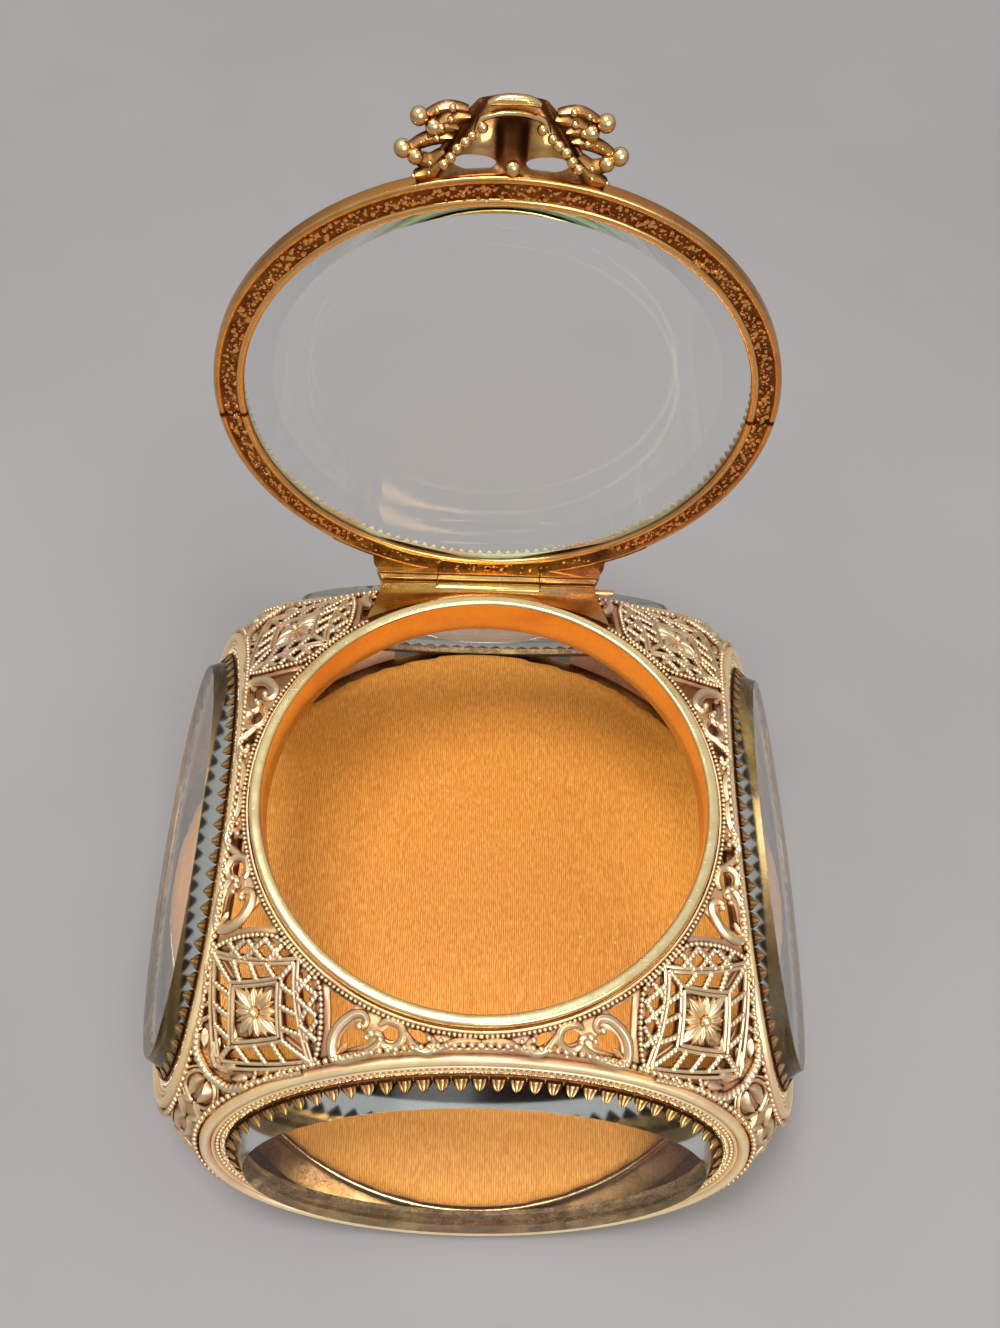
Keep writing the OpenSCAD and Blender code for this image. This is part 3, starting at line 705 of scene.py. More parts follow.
def oval_sweep(side, profile, relief, count=300):
    """A closed profile of insets and heights carried round the window's oval."""
    t = even_turns(count, 2.0)[:, None]
    inset, h = np.asarray(profile, float).T
    points = on_window(side, (WIN_A - inset) * np.cos(t), (WIN_B - inset) * np.sin(t), h)
    return lattice(points, True, True, np.asarray(relief, float)[None])


def arch(x0, x1, base, top, fine=9, power=0.5):
    """A rounded roll between two insets: base + (top - base) (1 - u^2)^power."""
    u = np.linspace(-1, 1, fine)
    return [((x0 + x1) / 2 + (x1 - x0) / 2 * a, base + (top - base) * (1 - a * a) ** power)
            for a in u]


def window_ring(side):
    """The frame of a window: a broad roll, a small roll, a row of fine beads and a stippled
    slope down to the gallery, over a seat for the pane."""
    roll = arch(0.02, 1.52, 0.2, 0.93, 13)
    lesser = arch(1.6, 2.14, 0.3, 0.72, 8)
    profile = ([(0, -1.0), (0, 0.1)] + roll + [(1.56, 0.12)] + lesser
               + [(2.2, 0.1), (2.72, 0.1), (2.85, 0.52), (3.1, 0.5), (3.7, 0.1), (3.72, SEAT_TOP),
                  (6.0, SEAT_TOP), (6.0, -2.1), (2.8, -2.1), (2.8, -1.0)])
    # Relief high on the tops of the rolls, low in the groove between them and on the seat: wear
    # and painted highlight above, dirt and painted shade below.
    relief = ([0.1, 0.4] + list(np.linspace(0.5, 1, 7)) + list(np.linspace(1, 0.5, 6)) + [0.05]
              + [0.5, 0.8, 1, 1, 1, 0.9, 0.7, 0.5] + [0.05, 0.05, 0.7, 0.5, 0.15, 0, 0, 0, 0, 0])
    t = even_turns(218, 2.45)
    centre = on_window(side, (WIN_A - 2.45) * np.cos(t), (WIN_B - 2.45) * np.sin(t), 0.3)
    out = unit(on_window(side, 0, 0, 1) - on_window(side, 0, 0, 0))
    return [oval_sweep(side, profile, relief), beads(centre, 0.3, out)]


def stipple_grains(side, seed):
    """Small grains struck into the slope of a window frame, scattered evenly round it."""
    draw = np.random.default_rng(seed)
    count = 900
    t = np.interp((np.arange(count) + draw.uniform(-0.6, 0.6, count)) % count,
                  np.arange(count), even_turns(count, 3.2))
    inset = draw.uniform(2.95, 3.62, count)
    h = 0.5 - (inset - 3.1).clip(0) * 0.66
    out = unit(on_window(side, 0, 0, 1) - on_window(side, 0, 0, 0))
    centre = on_window(side, (WIN_A - inset) * np.cos(t), (WIN_B - inset) * np.sin(t), h)
    return beads(centre, draw.uniform(0.1, 0.17, count), out, 0.3, ball(3, 6))


def tooth_rows(place, count, width, thick=0.5, under=-0.3):
    """The teeth of a gallery: each runs from its root over the bevel to a blunt point. Along
    it, t from 0 to 1, the half width is w (1 - t^2.4); across it, x from -1 to 1, the top has a
    ridge in the middle and one at each side, thick (1 - |x|^3) (0.5 + 0.5 |cos(1.5 pi x)|).
    place(tooth, x, t, h) gives the points."""
    t = np.array([0, 0.2, 0.4, 0.58, 0.74, 0.87, 0.96])
    x = np.linspace(-1, 1, 13)
    wide = width * (1 - t ** 2.4)
    ridge = (1 - np.abs(x) ** 3) * (0.5 + 0.5 * np.abs(np.cos(1.5 * math.pi * x)))
    top = np.outer(0.75 + 0.6 * t - 0.9 * t ** 5, ridge)
    across = np.concatenate([np.outer(wide, x), np.outer(wide, [0.85, -0.85])], 1)
    over = np.concatenate([thick * top, np.full((len(t), 2), -0.16)], 1)
    # Relief high on the ridges, low between them and set by under on the undersides: painted
    # highlight and painted shade besides wear and dirt.
    relief = np.concatenate([1.5 * top - 0.45, np.full((len(t), 2), under)], 1)
    along = np.repeat(t[:, None], 15, 1)
    return [lattice(place(k, across, along, over), False, True, relief, ends=True)
            for k in range(count)]


def window_gallery(side):
    """The crimped gallery of a window: a strip round the pane and the teeth bent over it."""
    count = 68
    turns = even_turns(count, 4.2)
    strip = [(3.74, -1.3), (3.74, 0.7), (3.85, 0.8), (4.12, 0.85), (4.24, 0.7), (4.24, -1.3)]

    def place(k, across, along, over):
        a = turns[k]
        root = 3.66 + along * 1.4
        rise = 0.8 + 0.45 * along + 0.5 * along ** 2
        ux, uy = (WIN_A - 4.3) * math.cos(a), (WIN_B - 4.3) * math.sin(a)
        nx, ny = math.cos(a) * (WIN_B - 4.3), math.sin(a) * (WIN_A - 4.3)
        size = math.hypot(nx, ny)
        nx, ny = nx / size, ny / size
        gone = 4.3 - root
        x = ux + nx * gone - ny * across - nx * over * 0.5
        y = uy + ny * gone + nx * across - ny * over * 0.5
        return on_window(side, x, y, rise + over * 0.85)

    made = tooth_rows(place, count, 1.16)
    return made + [oval_sweep(side, strip, [0.3, 0.5, 0.7, 0.7, 0.6, 0.6], 240)]


def pane(place, outline, levels, edge, ground, flat):
    """A bevelled pane: outlines at their insets and heights one after another, from the middle
    of the back round the edge to the middle of the front. Its relief says how much painted
    dark green shade the glass has, on the edge, on the ground bevel and on the flats."""
    rows = [place(outline, inset, h) for inset, h in levels]
    relief = np.array([flat] * 3 + [edge] * 3 + [ground] * 2 + [flat] * 3)[:, None]
    return lattice(np.stack(rows), False, True, relief, ends=True)


def window_pane(side):
    """The pane of a window: its edge, its ground bevel and its flat face."""
    turns = np.linspace(0, 2 * math.pi, 288, endpoint=False)
    low, arris = SEAT_TOP, 0.04
    bevel = low + PANE_EDGE
    levels = [(12, low), (PANE_IN + 1, low), (PANE_IN + arris, low), (PANE_IN, low + arris),
              (PANE_IN, bevel - arris), (PANE_IN + 0.02, bevel + arris),
              (PANE_IN + PANE_BEVEL_W * 0.2, bevel + PANE_RISE * 0.2),
              (PANE_IN + PANE_BEVEL_W - arris / 2, bevel + PANE_RISE - arris),
              (PANE_IN + PANE_BEVEL_W + arris, bevel + PANE_RISE), (8, bevel + PANE_RISE),
              (12, bevel + PANE_RISE)]
    return pane(lambda t, inset, h: on_window(side, (WIN_A - inset) * np.cos(t),
                                              (WIN_B - inset) * np.sin(t), h),
                turns, levels, 0.5, 0.24, 0.12)


# Round pieces, and the lid's pieces, which are worked out closed and then opened

def turned(profile, relief, count=384, turn=(0.0, 2 * math.pi)):
    """A closed profile of radii and heights turned about the middle, right round or part."""
    whole = turn[1] - turn[0] > 6.28
    a = np.linspace(turn[0], turn[1], count, endpoint=not whole)[:, None]
    r, z = np.asarray(profile, float).T
    points = np.stack(np.broadcast_arrays(r * np.cos(a), r * np.sin(a), z), -1)
    return lattice(points, whole, True, np.atleast_2d(relief), ends=not whole)


def opened(points):
    """Points of the closed lid turned about the hinge to where the lid stands open."""
    y, z = points[..., 1] - AXIS_Y, points[..., 2] - AXIS_Z
    c, s = math.cos(LID_OPEN), math.sin(LID_OPEN)
    return np.stack([points[..., 0], AXIS_Y + y * c + z * s, AXIS_Z - y * s + z * c], -1)


def on_open_lid(made):
    """A shape of the closed lid, opened."""
    return (opened(made[0]),) + made[1:]


def rim():
    """The polished rim, rounded on both edges, with the collar that lines the opening."""
    e = 0.5
    turn = np.linspace(math.pi, math.pi / 2, 6)
    outer = [(RIM_R - e - e * math.cos(a), RIM_TOP - e + e * math.sin(a)) for a in turn[::-1]]
    inner = [(RIM_IN + e + e * math.cos(a), RIM_TOP - e + e * math.sin(a)) for a in turn]
    low = RIM_TOP - COLLAR_DEPTH
    profile = (inner + outer + [(RIM_R, RIM_TOP - 1.1), (RIM_R - 0.25, RIM_TOP - 1.3),
                                (RIM_IN + 0.62, RIM_TOP - 1.3), (RIM_IN + 0.6, low + 0.1),
                                (RIM_IN + 0.5, low), (RIM_IN + 0.05, low), (RIM_IN, low + 0.08)])
    # The underside of the lip and the back of the collar get relief near 0: dirt and painted shade
    # there.
    relief = [0.6, 0.7, 0.8, 1, 1, 1, 1, 1, 1, 0.8, 0.7, 0.6, 0.3, 0.1, 0, 0, 0, 0.2, 0.4]
    return turned(profile, relief)


def lid_ring():
    """The lid's ring. Under the closed lid, and so towards the viewer of the open one, it has
    a smooth outer lip, a sunk band and a bright inner lip; above it has a roll and a milled
    edge."""
    z, r = LID_LOW, LID_R
    inner = r - 3.8
    under = [(inner, z + 0.62)] + [(inner + 0.5 - 0.5 * math.cos(a), z + 0.42 - 0.42 * math.sin(a))
                                   for a in np.linspace(0.1, math.pi - 0.1, 9)]
    band = [(inner + 1.04, z + 0.36), (r - 0.98, z + 0.36)]
    lip = [(r - 0.45 - 0.45 * math.cos(a), z + 0.4 - 0.4 * math.sin(a))
           for a in np.linspace(0.1, math.pi - 0.1, 8)]
    top = [(r, z + 1.5)] + [(r - 1.0 + math.cos(a), z + 1.62 + 0.56 * math.sin(a))
                            for a in np.linspace(0.1, math.pi - 0.1, 11)]
    milled = [(r - 2.02, z + 1.3), (r - 2.2, z + 1.66), (r - 2.6, z + 1.66), (r - 2.7, z + 1.2),
              (r - 2.72, z + LID_SEAT), (inner + 0.1, z + LID_SEAT), (inner, z + LID_SEAT - 0.1)]
    # The inner lip's relief of 1.1 paints it pale, painted highlight with wear; the sunk band's
    # relief of 0.16 darkens it.
    relief = ([0.3] + [0.7, 0.9] + [1.1] * 5 + [0.8, 0.4] + [0.16, 0.16]
              + [0.3, 0.7] + [0.9] * 5 + [0.7] + [0.6] + [0.9] * 11
              + [0.1, 0.6, 0.6, 0.3, 0, 0, 0.1])
    a = np.linspace(0, 2 * math.pi, 384, endpoint=False)
    gap = np.minimum(a, np.abs(a - 3.09)) < 0.009
    relief = np.where(gap[:, None], -0.6, np.array(relief)[None])
    return on_open_lid(turned(under + band + lip + top + milled, relief))


def lid_milling():
    """Fine beads round the milled edge on top of the lid, and the struck band under it, where
    grains of many sizes lie close together."""
    made = []
    count = 330
    a = np.arange(count) * 2 * math.pi / count
    r, z = LID_R - 2.4, LID_LOW + 1.62
    centre = np.stack([r * np.cos(a), r * np.sin(a), np.full(count, z)], -1)
    made.append(on_open_lid(beads(centre, 0.3, (0, 0, 1))))
    draw = np.random.default_rng(11)
    count = 1300
    a = (np.arange(count) + draw.uniform(-0.5, 0.5, count)) * 2 * math.pi / count
    r = LID_R - 1.9 + draw.uniform(-0.8, 0.8, count)
    size = 0.14 + 0.28 * draw.uniform(0, 1, count) ** 2
    centre = np.stack([r * np.cos(a), r * np.sin(a), np.full(count, LID_LOW + 0.34)], -1)
    made.append(on_open_lid(beads(centre, size, (0, 0, -1), 0.3, ball(4, 7))))
    return made


def lid_crimps():
    """The crimped gallery of the lid: the strip round the pane and its teeth."""
    count, z = 144, LID_LOW + LID_SEAT + PANE_EDGE + 0.2
    wall = [(LID_PANE_R + 0.36, LID_LOW + 0.82), (LID_PANE_R + 0.36, z),
            (LID_PANE_R + 0.2, z + 0.3), (LID_PANE_R - 0.1, z + 0.35),
            (LID_PANE_R + 0.04, z - 0.1), (LID_PANE_R + 0.04, LID_LOW + 0.82)]

    def place(k, across, along, over):
        a = k * 2 * math.pi / count
        out = LID_PANE_R + 0.3 - along * 1.0
        rise = z + 0.25 + 0.2 * along + 0.3 * along ** 2
        x = out * math.cos(a) - across * math.sin(a)
        y = out * math.sin(a) + across * math.cos(a)
        return opened(np.stack([x, y, rise + over * 0.9], -1))

    # The teeth's undersides take high relief, so the gilding paints them pale: painted light.
    made = tooth_rows(place, count, 0.72, 0.3, 0.7)
    return made + [on_open_lid(turned(wall, [0, 0.5, 0.7, 0.6, 0.2, 0], 240))]


def lid_pane():
    """The round bevelled pane of the lid."""
    turns = np.linspace(0, 2 * math.pi, 288, endpoint=False)
    z, arris = LID_LOW + LID_SEAT, 0.04
    bevel = z + PANE_EDGE
    levels = [(20, z), (2, z), (arris, z), (0, z + arris), (0, bevel - arris),
              (0.02, bevel + arris), (LID_BEVEL_W * 0.2, bevel + LID_BEVEL_RISE * 0.2),
              (LID_BEVEL_W - arris, bevel + LID_BEVEL_RISE - arris),
              (LID_BEVEL_W + arris, bevel + LID_BEVEL_RISE), (8, bevel + LID_BEVEL_RISE),
              (20, bevel + LID_BEVEL_RISE)]

    def place(t, inset, h):
        r = LID_PANE_R - inset
        return opened(np.stack([r * np.cos(t), r * np.sin(t), np.full_like(t, h)], -1))

    return pane(place, turns, levels, 0.9, 0.1, 0)


def pan():
    """The pressed floor with four flats under the windows, and the round wall with a rolled
    edge that holds the pad."""
    a = np.linspace(0, 2 * math.pi, 288, endpoint=False)
    quarter = (a + math.pi / 4) % (math.pi / 2) - math.pi / 4
    edge = np.minimum(PAN_R, 49.3 / np.cos(quarter))
    floor = np.stack([np.stack([edge * r * np.cos(a), edge * r * np.sin(a),
                                np.full_like(a, z)], -1)
                      for r, z in ((0.5, 0), (0.994, 0), (1, 0.1), (1, 0.7), (0.994, 0.8),
                                   (0.9, 0.8), (0.5, 0.8))])
    floor = lattice(floor, False, True, 0.4, ends=True)
    roll = [(PAN_WALL_R - 0.35 + 0.6 * math.cos(t), PAN_H + 0.6 * math.sin(t))
            for t in np.linspace(-0.6, math.pi + 0.6, 14)]
    wall = [(PAN_WALL_R - 0.7, 0.75), (PAN_WALL_R, 0.75)] + roll
    # The rolled edge's relief rising to 1 gives it wear and a painted highlight; the wall's relief
    # of 0.2 gives it dirt and painted shade.
    return floor, turned(wall, [0.2, 0.2] + list(np.linspace(0.6, 1, 7)) + [1] * 7, 320)


# The thumb tab

TAB_T, TAB_DROOP = 1.4, math.radians(22)


def on_tab(x, y, h):
    """Points of the tab: across, out from the lid's ring, and over its back, turned over by
    158 degrees on the closed lid and then opened with it."""
    x, y, h = np.broadcast_arrays(np.asarray(x, float), y, h)
    c, s = math.cos(math.pi - TAB_DROOP), math.sin(math.pi - TAB_DROOP)
    h = h - TAB_T
    return opened(np.stack([x, -LID_R + y * c - h * s, LID_LOW + 0.4 + y * s + h * c], -1))


TAB_OUT = unit(on_tab(0, 0, 1) - on_tab(0, 0, 0))
# Up and out from the tab: beads on it take their relief towards this side, so their tops get
# painted highlight and their undersides painted shade.
TAB_LIT = unit(TAB_OUT + (0, 0, 0.9))
TAB_OUTLINE = [(-9.4, -0.9), (-8.9, 0.6), (-7.6, 2.3), (-6.2, 4.2), (-5.0, 5.9), (-3.6, 7.2),
               (-1.8, 7.7), (0, 7.8), (1.8, 7.7), (3.6, 7.2), (5.0, 5.9), (6.2, 4.2),
               (7.6, 2.3), (8.9, 0.6), (9.4, -0.9)]


def tab_path(points, h, fine=14):
    """A smooth path on the tab at one height, with the normal there."""
    run = curve(points, fine)
    path = on_tab(run[:, 0], run[:, 1], h)
    return path, np.broadcast_to(TAB_OUT, path.shape)


def tab_crown():
    """The crown of the tab: a stamped sheet with two openings by the ring and a deep hollow in
    its middle, its edge turned back."""
    x, y = np.linspace(-9.8, 9.8, 197), np.linspace(-1.0, 8.0, 91)
    grid_y, grid_x = np.meshgrid(y, x, indexing="ij")
    outline = np.asarray(TAB_OUTLINE, float)

    def field_at(px, py):
        field = outline_distance(px, py, outline)
        for side in (-1, 1):
            hole = np.hypot((px - side * 3.9) / 2.3, (py - 1.15) / 0.85) - 1
            field = np.minimum(field, hole)
        return field

    places, quads, tris, border = cut_out(field_at(grid_x, grid_y), y, x)
    py, px = places[:, 0], places[:, 1]
    depth = outline_distance(px, py, outline)
    hollow = np.exp(-(px / 1.5) ** 4 - ((py - 3.3) / 2.3) ** 4)
    groove = np.exp(-((np.abs(px) - (8.0 - 0.66 * py)) / 0.55) ** 2)
    bulge = 0.5 * np.exp(-((np.abs(px) - 3.3) / 1.5) ** 2 - ((py - 3.2) / 1.7) ** 2)
    top = TAB_T - 0.35 + bulge - 1.15 * hollow - 0.45 * groove - 0.5 * np.exp(-depth / 0.3)
    bottom = top - 0.45
    n = len(places)
    walls = np.stack([border[:, 1], border[:, 0], border[:, 0] + n, border[:, 1] + n], -1)
    # The hollow and the grooves get low relief: dirt and painted shade in them.
    relief = np.concatenate([0.35 + bulge - 1.2 * hollow - 0.9 * groove, np.full(n, 0.45)])
    return facing_out(shape(
        np.concatenate([on_tab(px, py, top), on_tab(px, py, bottom)]),
        np.concatenate([quads, quads[:, ::-1] + n, walls]),
        np.concatenate([tris, tris[:, ::-1] + n]), relief))


def tab_work():
    """Raised work on the tab: ridge, arch, beads, and an arm with lobes to each pair of
    balls."""
    made = [tab_crown()]
    for points, width, height, h in (
            ([(-2.6, 7.1), (-1.2, 7.5), (1.4, 7.5), (2.8, 7.1)], 0.6, 0.6, 1.25),
            ([(-3.9, 4.4), (-3.3, 5.5), (-1.6, 6.1), (0, 6.25), (1.6, 6.1), (3.3, 5.5),
              (3.9, 4.4)], 0.42, 0.55, 1.2)):
        path, normal = spaced(*tab_path(points, h), 0.25)
        t = np.linspace(0.02, 0.98, len(path))
        made.append(carried(path, normal, width * np.sin(math.pi * t) ** 0.3, height,
                            round_section(10), 0.3))
    for side in (-1, 1):
        for x, y, size in ((3.1, 4.75, 0.6), (4.2, 3.9, 0.55), (4.9, 3.25, 0.62),
                           (5.7, 2.6, 0.6), (6.4, 1.7, 0.62), (7.1, 1.0, 0.6)):
            made.append(beads(on_tab(side * x, y, 1.5), size, TAB_LIT, pattern=BIG_BALL))
        for points, width, top in ([[(4.4, 5.6), (6.2, 5.4), (8.3, 4.5)], 0.8, 0.4],
                                   [[(4.6, 6.3), (7.0, 6.4), (9.4, 5.4)], 0.55, 0.5],
                                   [[(7.0, 2.0), (8.5, 0.9), (10.4, 1.5)], 0.85, 0.4],
                                   [[(6.2, 3.5), (8.6, 3.3), (11.0, 2.2)], 0.7, 0.5],
                                   [[(7.4, 1.0), (8.8, -0.2), (10.3, -0.5)], 0.8, 0.4],
                                   [[(5.6, 4.4), (7.3, 4.5), (8.9, 3.3)], 0.8, 0.35]):
            path, normal = spaced(*tab_path([(side * a, b) for a, b in points], 0.6), 0.22)
            t = np.linspace(0.02, 0.98, len(path))
            made.append(carried(path, normal, width * np.sin(math.pi * t ** 0.9) ** 0.4 + 0.1,
                                0.6, leaf_section(1, 8, -0.9), 0.05, top))
            path, normal = spaced(path, normal, 1.7)
            size = 0.34 + 0.16 * np.sin(2.4 * np.arange(1, len(path)) + points[0][0])
            # Relief from -0.4 underneath: painted shade under the small beads.
            made.append(beads(path[1:] + normal[1:] * 0.45, size, TAB_LIT, -0.4, ball(6, 10)))
    made.append(beads(on_tab(0.2, 0.75, 1.2), 0.85, TAB_LIT, pattern=BIG_BALL))
    return made


def tab_balls():
    """The balls at the ends of the tab's arms, a larger and a smaller one to each."""
    places, sizes = [], []
    for side in (-1, 1):
        for x, y, size in ((9.7, 5.5, 1.0), (8.2, 4.5, 0.92), (11.4, 2.25, 1.0),
                           (10.1, 1.5, 0.9)):
            places.append(on_tab(side * x, y, 0.85))
            sizes.append(size)
    # Relief from -0.5 underneath: painted shade under the balls.
    return beads(places, np.array(sizes), TAB_LIT, -0.5, BIG_BALL)


# The hinge. The knuckles lie along X about the axis; the body has the outer two and the lid
# the middle one.

def rod(y, z, radius, x0, x1, round_off=0.12):
    """A round bar along X with its ends rounded off."""
    turn = np.linspace(0, math.pi / 2, 5)
    x = np.concatenate([[x0], x0 + round_off * (1 - np.cos(turn)),
                        x1 - round_off * (1 - np.cos(turn[::-1])), [x1]])
    r = np.concatenate([[0.2 * radius], radius - round_off * (1 - np.sin(turn)),
                        radius - round_off * (1 - np.sin(turn[::-1])), [0.2 * radius]])
    a = np.arange(28) * 2 * math.pi / 28
    points = np.stack([np.repeat(x[:, None], 28, 1), y + r[:, None] * np.cos(a),
                       z + r[:, None] * np.sin(a)], -1)
    return lattice(points, False, True, 0.85, ends=True)


def bar(section, x0, x1, round_off=0.1, relief=0.8, flare=None):
    """A closed section of Y and Z carried along X, drawn in a little at both ends. A piece of
    the lid is given with a flare, by which its outer end reaches further out at the top, and
    comes opened."""
    line = np.asarray(section, float)
    middle = line.mean(0)
    reach = (flare or 0) * (line[:, 1] - line[:, 1].min()) / np.ptp(line[:, 1])
    rows = []
    for at, size in ((x0, 0.96), (x0 + round_off, 1.0), (x1 - round_off, 1.0), (x1, 0.96)):
        here = middle + (line - middle) * size
        outer = abs(at) > BARREL_L / 2 - 0.3
        out = reach * np.sign(at) if outer else 0 * reach
        rows.append(np.stack([at + out, here[:, 0], here[:, 1]], -1))
    points = np.stack(rows)
    return lattice(points if flare is None else opened(points), False, True, relief, ends=True)



def hinge_body():
    """The body's leaf: a plate that falls from the rim to the barrel, z = low + rise
    (1 - v)^1.6 with v from 0 to 1, and the two outer knuckles with the strips that join them
    to it."""
    inner = KNUCKLE_MID_L / 2 + 0.15
    half, made = BARREL_L / 2, []
    x = np.linspace(-half, half, 60)
    rim_y = np.sqrt((RIM_R - 0.15) ** 2 - x ** 2)
    back = AXIS_Y - KNUCKLE_R - 0.05
    v = np.linspace(0, 1, 9)
    y = rim_y[:, None] + (back - rim_y[:, None]) * v
    out = 1 + 0.09 * np.clip((back - y) / 6, 0, 1)
    z = PLATE_LOW + PLATE_T + (RIM_TOP - 0.15 - PLATE_LOW - PLATE_T) * (1 - v) ** 1.6
    top = np.stack(np.broadcast_arrays(x[:, None] * out, y, z), -1)
    under = top[:, [8, 0]].copy()
    under[..., 2] = PLATE_LOW + 0.02
    relief = np.concatenate([np.full(9, 0.8), [0.1, 0.1]]) - 0.3 * (np.abs(x[:, None]) > 7)
    made.append(lattice(np.concatenate([top, under], 1), False, True, relief, ends=True))
    for side in (-1, 1):
        x0, x1 = sorted((side * inner, side * half))
        made.append(rod(AXIS_Y, AXIS_Z, KNUCKLE_R, x0, x1, 0.16))
        web = [(AXIS_Y - KNUCKLE_R + 0.02, AXIS_Z), (AXIS_Y - KNUCKLE_R + 0.02, PLATE_LOW + 0.42),
               (AXIS_Y - 0.1, PLATE_LOW + 0.42), (AXIS_Y - 0.1, AXIS_Z)]
        made.append(bar(web, x0, x1, 0.08, 0.3))
    return made


def hinge_lid():
    """The lid's leaf: a plate under the ring that flares out into it, a bright step and a dark
    channel above the barrel, and the middle knuckle."""
    half, mid, made = BARREL_L / 2, KNUCKLE_MID_L / 2, []
    edge, low = LID_R + 0.45, LID_LOW
    made.append(rod(AXIS_Y, AXIS_Z, KNUCKLE_R, -mid, mid, 0.16))
    # The web behind the middle knuckle gets relief below 0: painted shade.
    web = [(AXIS_Y - 0.3, AXIS_Z + 0.3), (AXIS_Y - 0.3, low), (AXIS_Y + 0.3, low),
           (AXIS_Y + 0.3, AXIS_Z + 0.3)]
    made.append(bar(web, -mid, mid, 0.05, -0.2, 0))
    for x0, x1 in ((-half, -mid - 0.08), (-mid + 0.08, mid - 0.08), (mid + 0.08, half)):
        front, y = AXIS_Z + 1.3, AXIS_Y - 0.5
        step = [(y + 0.15, front), (y, front + 0.12), (y - 0.02, front + 0.75),
                (y + 0.16, front + 0.85), (y + 0.16, front + 1.05), (y, front + 1.15),
                (y, low + 0.02), (edge - 0.3, low + 0.02), (edge - 0.3, front + 0.5),
                (edge - 0.9, front)]
        # The notch above the barrel gets relief below 0: painted shade in the channel.
        relief = [0.2, 1.0, 0.9, -0.1, -0.1, 0.7, 0.5, 0.1, 0.1, 0.1]
        made.append(bar(step, x0, x1, 0.1, relief, 0.9 if x1 > mid or x0 < -mid else 0))
    a = np.radians(np.linspace(50, 130, 90))
    reach = half + 0.1
    arc = np.stack([(LID_R + 0.03) * np.cos(a), (LID_R + 0.03) * np.sin(a)], -1)
    rows = []
    for h, out in ((low + 0.04, 0), (low + 1.0, 0), (low + 1.55, -0.2)):
        straight = np.stack([np.clip(arc[:, 0] * 0.86, -reach - 1.2, reach + 1.2),
                             np.maximum(arc[:, 1] + 0.25, edge + out
                                        - np.maximum(0, np.abs(arc[:, 0] * 0.86) - reach) * 2.2),
                             np.full(len(arc), h)], -1)
        rows.append(np.concatenate([np.concatenate([arc, np.full((len(arc), 1), h)], 1),
                                    straight[::-1]]))
    made.append(lattice(opened(np.stack(rows)), False, True, 0.1, ends=True))
    return made


# The pad

def places(thing):
    """The points of an object's mesh."""
    flat = np.empty(3 * len(thing.data.vertices), np.float32)
    thing.data.vertices.foreach_get("co", flat)
    return flat.reshape(-1, 3).astype(float)


def settled(thing):
    """Turns an object's modifiers into its mesh."""
    seen = thing.evaluated_get(bpy.context.evaluated_depsgraph_get())
    mesh = bpy.data.meshes.new_from_object(seen)
    old, name = thing.data, thing.data.name
    thing.modifiers.clear()
    thing.data = mesh
    bpy.data.meshes.remove(old)
    mesh.name = name


def cushion_shape():
    """A round pad: flat below, its side rolled in above and below and tucked inside the rolled
    edge of the pan, and a crown on top. Over the radius r its top is
    7.45 + 1.0 (1 - (r / R)^2) with slow unevenness, a sum of three long waves."""
    radius, rows = 46.0, []
    a = np.linspace(0, 2 * math.pi, 220, endpoint=False)
    for r in np.linspace(0.05, 0.94, 10):
        rows.append((radius * r, np.full_like(a, PAD_LOW + 0.02)))
    for t in np.linspace(-0.48, 0.46, 14):
        fall = 1 - math.cos(t * math.pi)
        tuck = 0.9 * min(1, max(0, -t / 0.1))
        rows.append((radius - tuck - 1.1 * fall,
                     np.full_like(a, 4.9 + (2.85 if t < 0 else 2.5) * math.sin(t * math.pi))))
    for r in np.linspace(0.95, 0.02, 70):
        top = 7.45 + 1.0 * (1 - (r / 0.97) ** 2)
        x, y = radius * r * np.cos(a), radius * r * np.sin(a)
        wave = (np.sin(x / 7 + 1.0) * np.sin(y / 9 + 0.4) * 0.07
                + np.sin(x / 3.9 + y / 6.3) * 0.03 + np.sin(5 * a + 1) * 0.05 * r ** 4)
        rows.append((radius * r, top + wave * min(1, 8 * (0.99 - r))))
    points = np.stack([np.stack([r * np.cos(a), r * np.sin(a), z], -1) for r, z in rows])
    return lattice(points, False, True, 0.5, ends=True)



def stuffed(pad):
    """Lets the satin swell: the pad is remeshed, blown up from inside as cloth for 20 steps,
    held where it lies on its card, and each point keeps at most 0.9 mm of its move."""
    remesh = pad.modifiers.new("even mesh", "REMESH")
    remesh.mode, remesh.voxel_size, remesh.use_smooth_shade = "VOXEL", 1.5 * MM, True
    settled(pad)
    rest = places(pad)
    held = pad.vertex_groups.new(name="held")
    held.add([int(k) for k in np.flatnonzero(rest[:, 2] < (PAD_LOW + 0.6) * MM)], 1.0, "REPLACE")
    cloth = pad.modifiers.new("satin", "CLOTH")
    cloth.settings.use_pressure, cloth.settings.uniform_pressure_force = True, 4.0
    cloth.settings.vertex_group_mass = "held"
    cloth.settings.effector_weights.gravity = 0
    cloth.point_cache.frame_start, cloth.point_cache.frame_end = 1, 20
    for step in range(1, 21):
        scene.frame_set(step)
    blown = bpy.context.evaluated_depsgraph_get()
    blown = places(pad.evaluated_get(blown))
    scene.frame_set(1)
    pad.modifiers.remove(cloth)
    move = blown - rest
    size = np.linalg.norm(move, axis=1, keepdims=True)
    most = 0.9 * MM
    move *= most * np.tanh(size / most) / np.maximum(size, 1e-9)
    pad.data.vertices.foreach_set("co", (rest + move).astype(np.float32).ravel())
    pad.data.update()
    finer = pad.modifiers.new("finer", "SUBSURF")
    finer.levels = finer.render_levels = 1
    settled(pad)


# Finishes

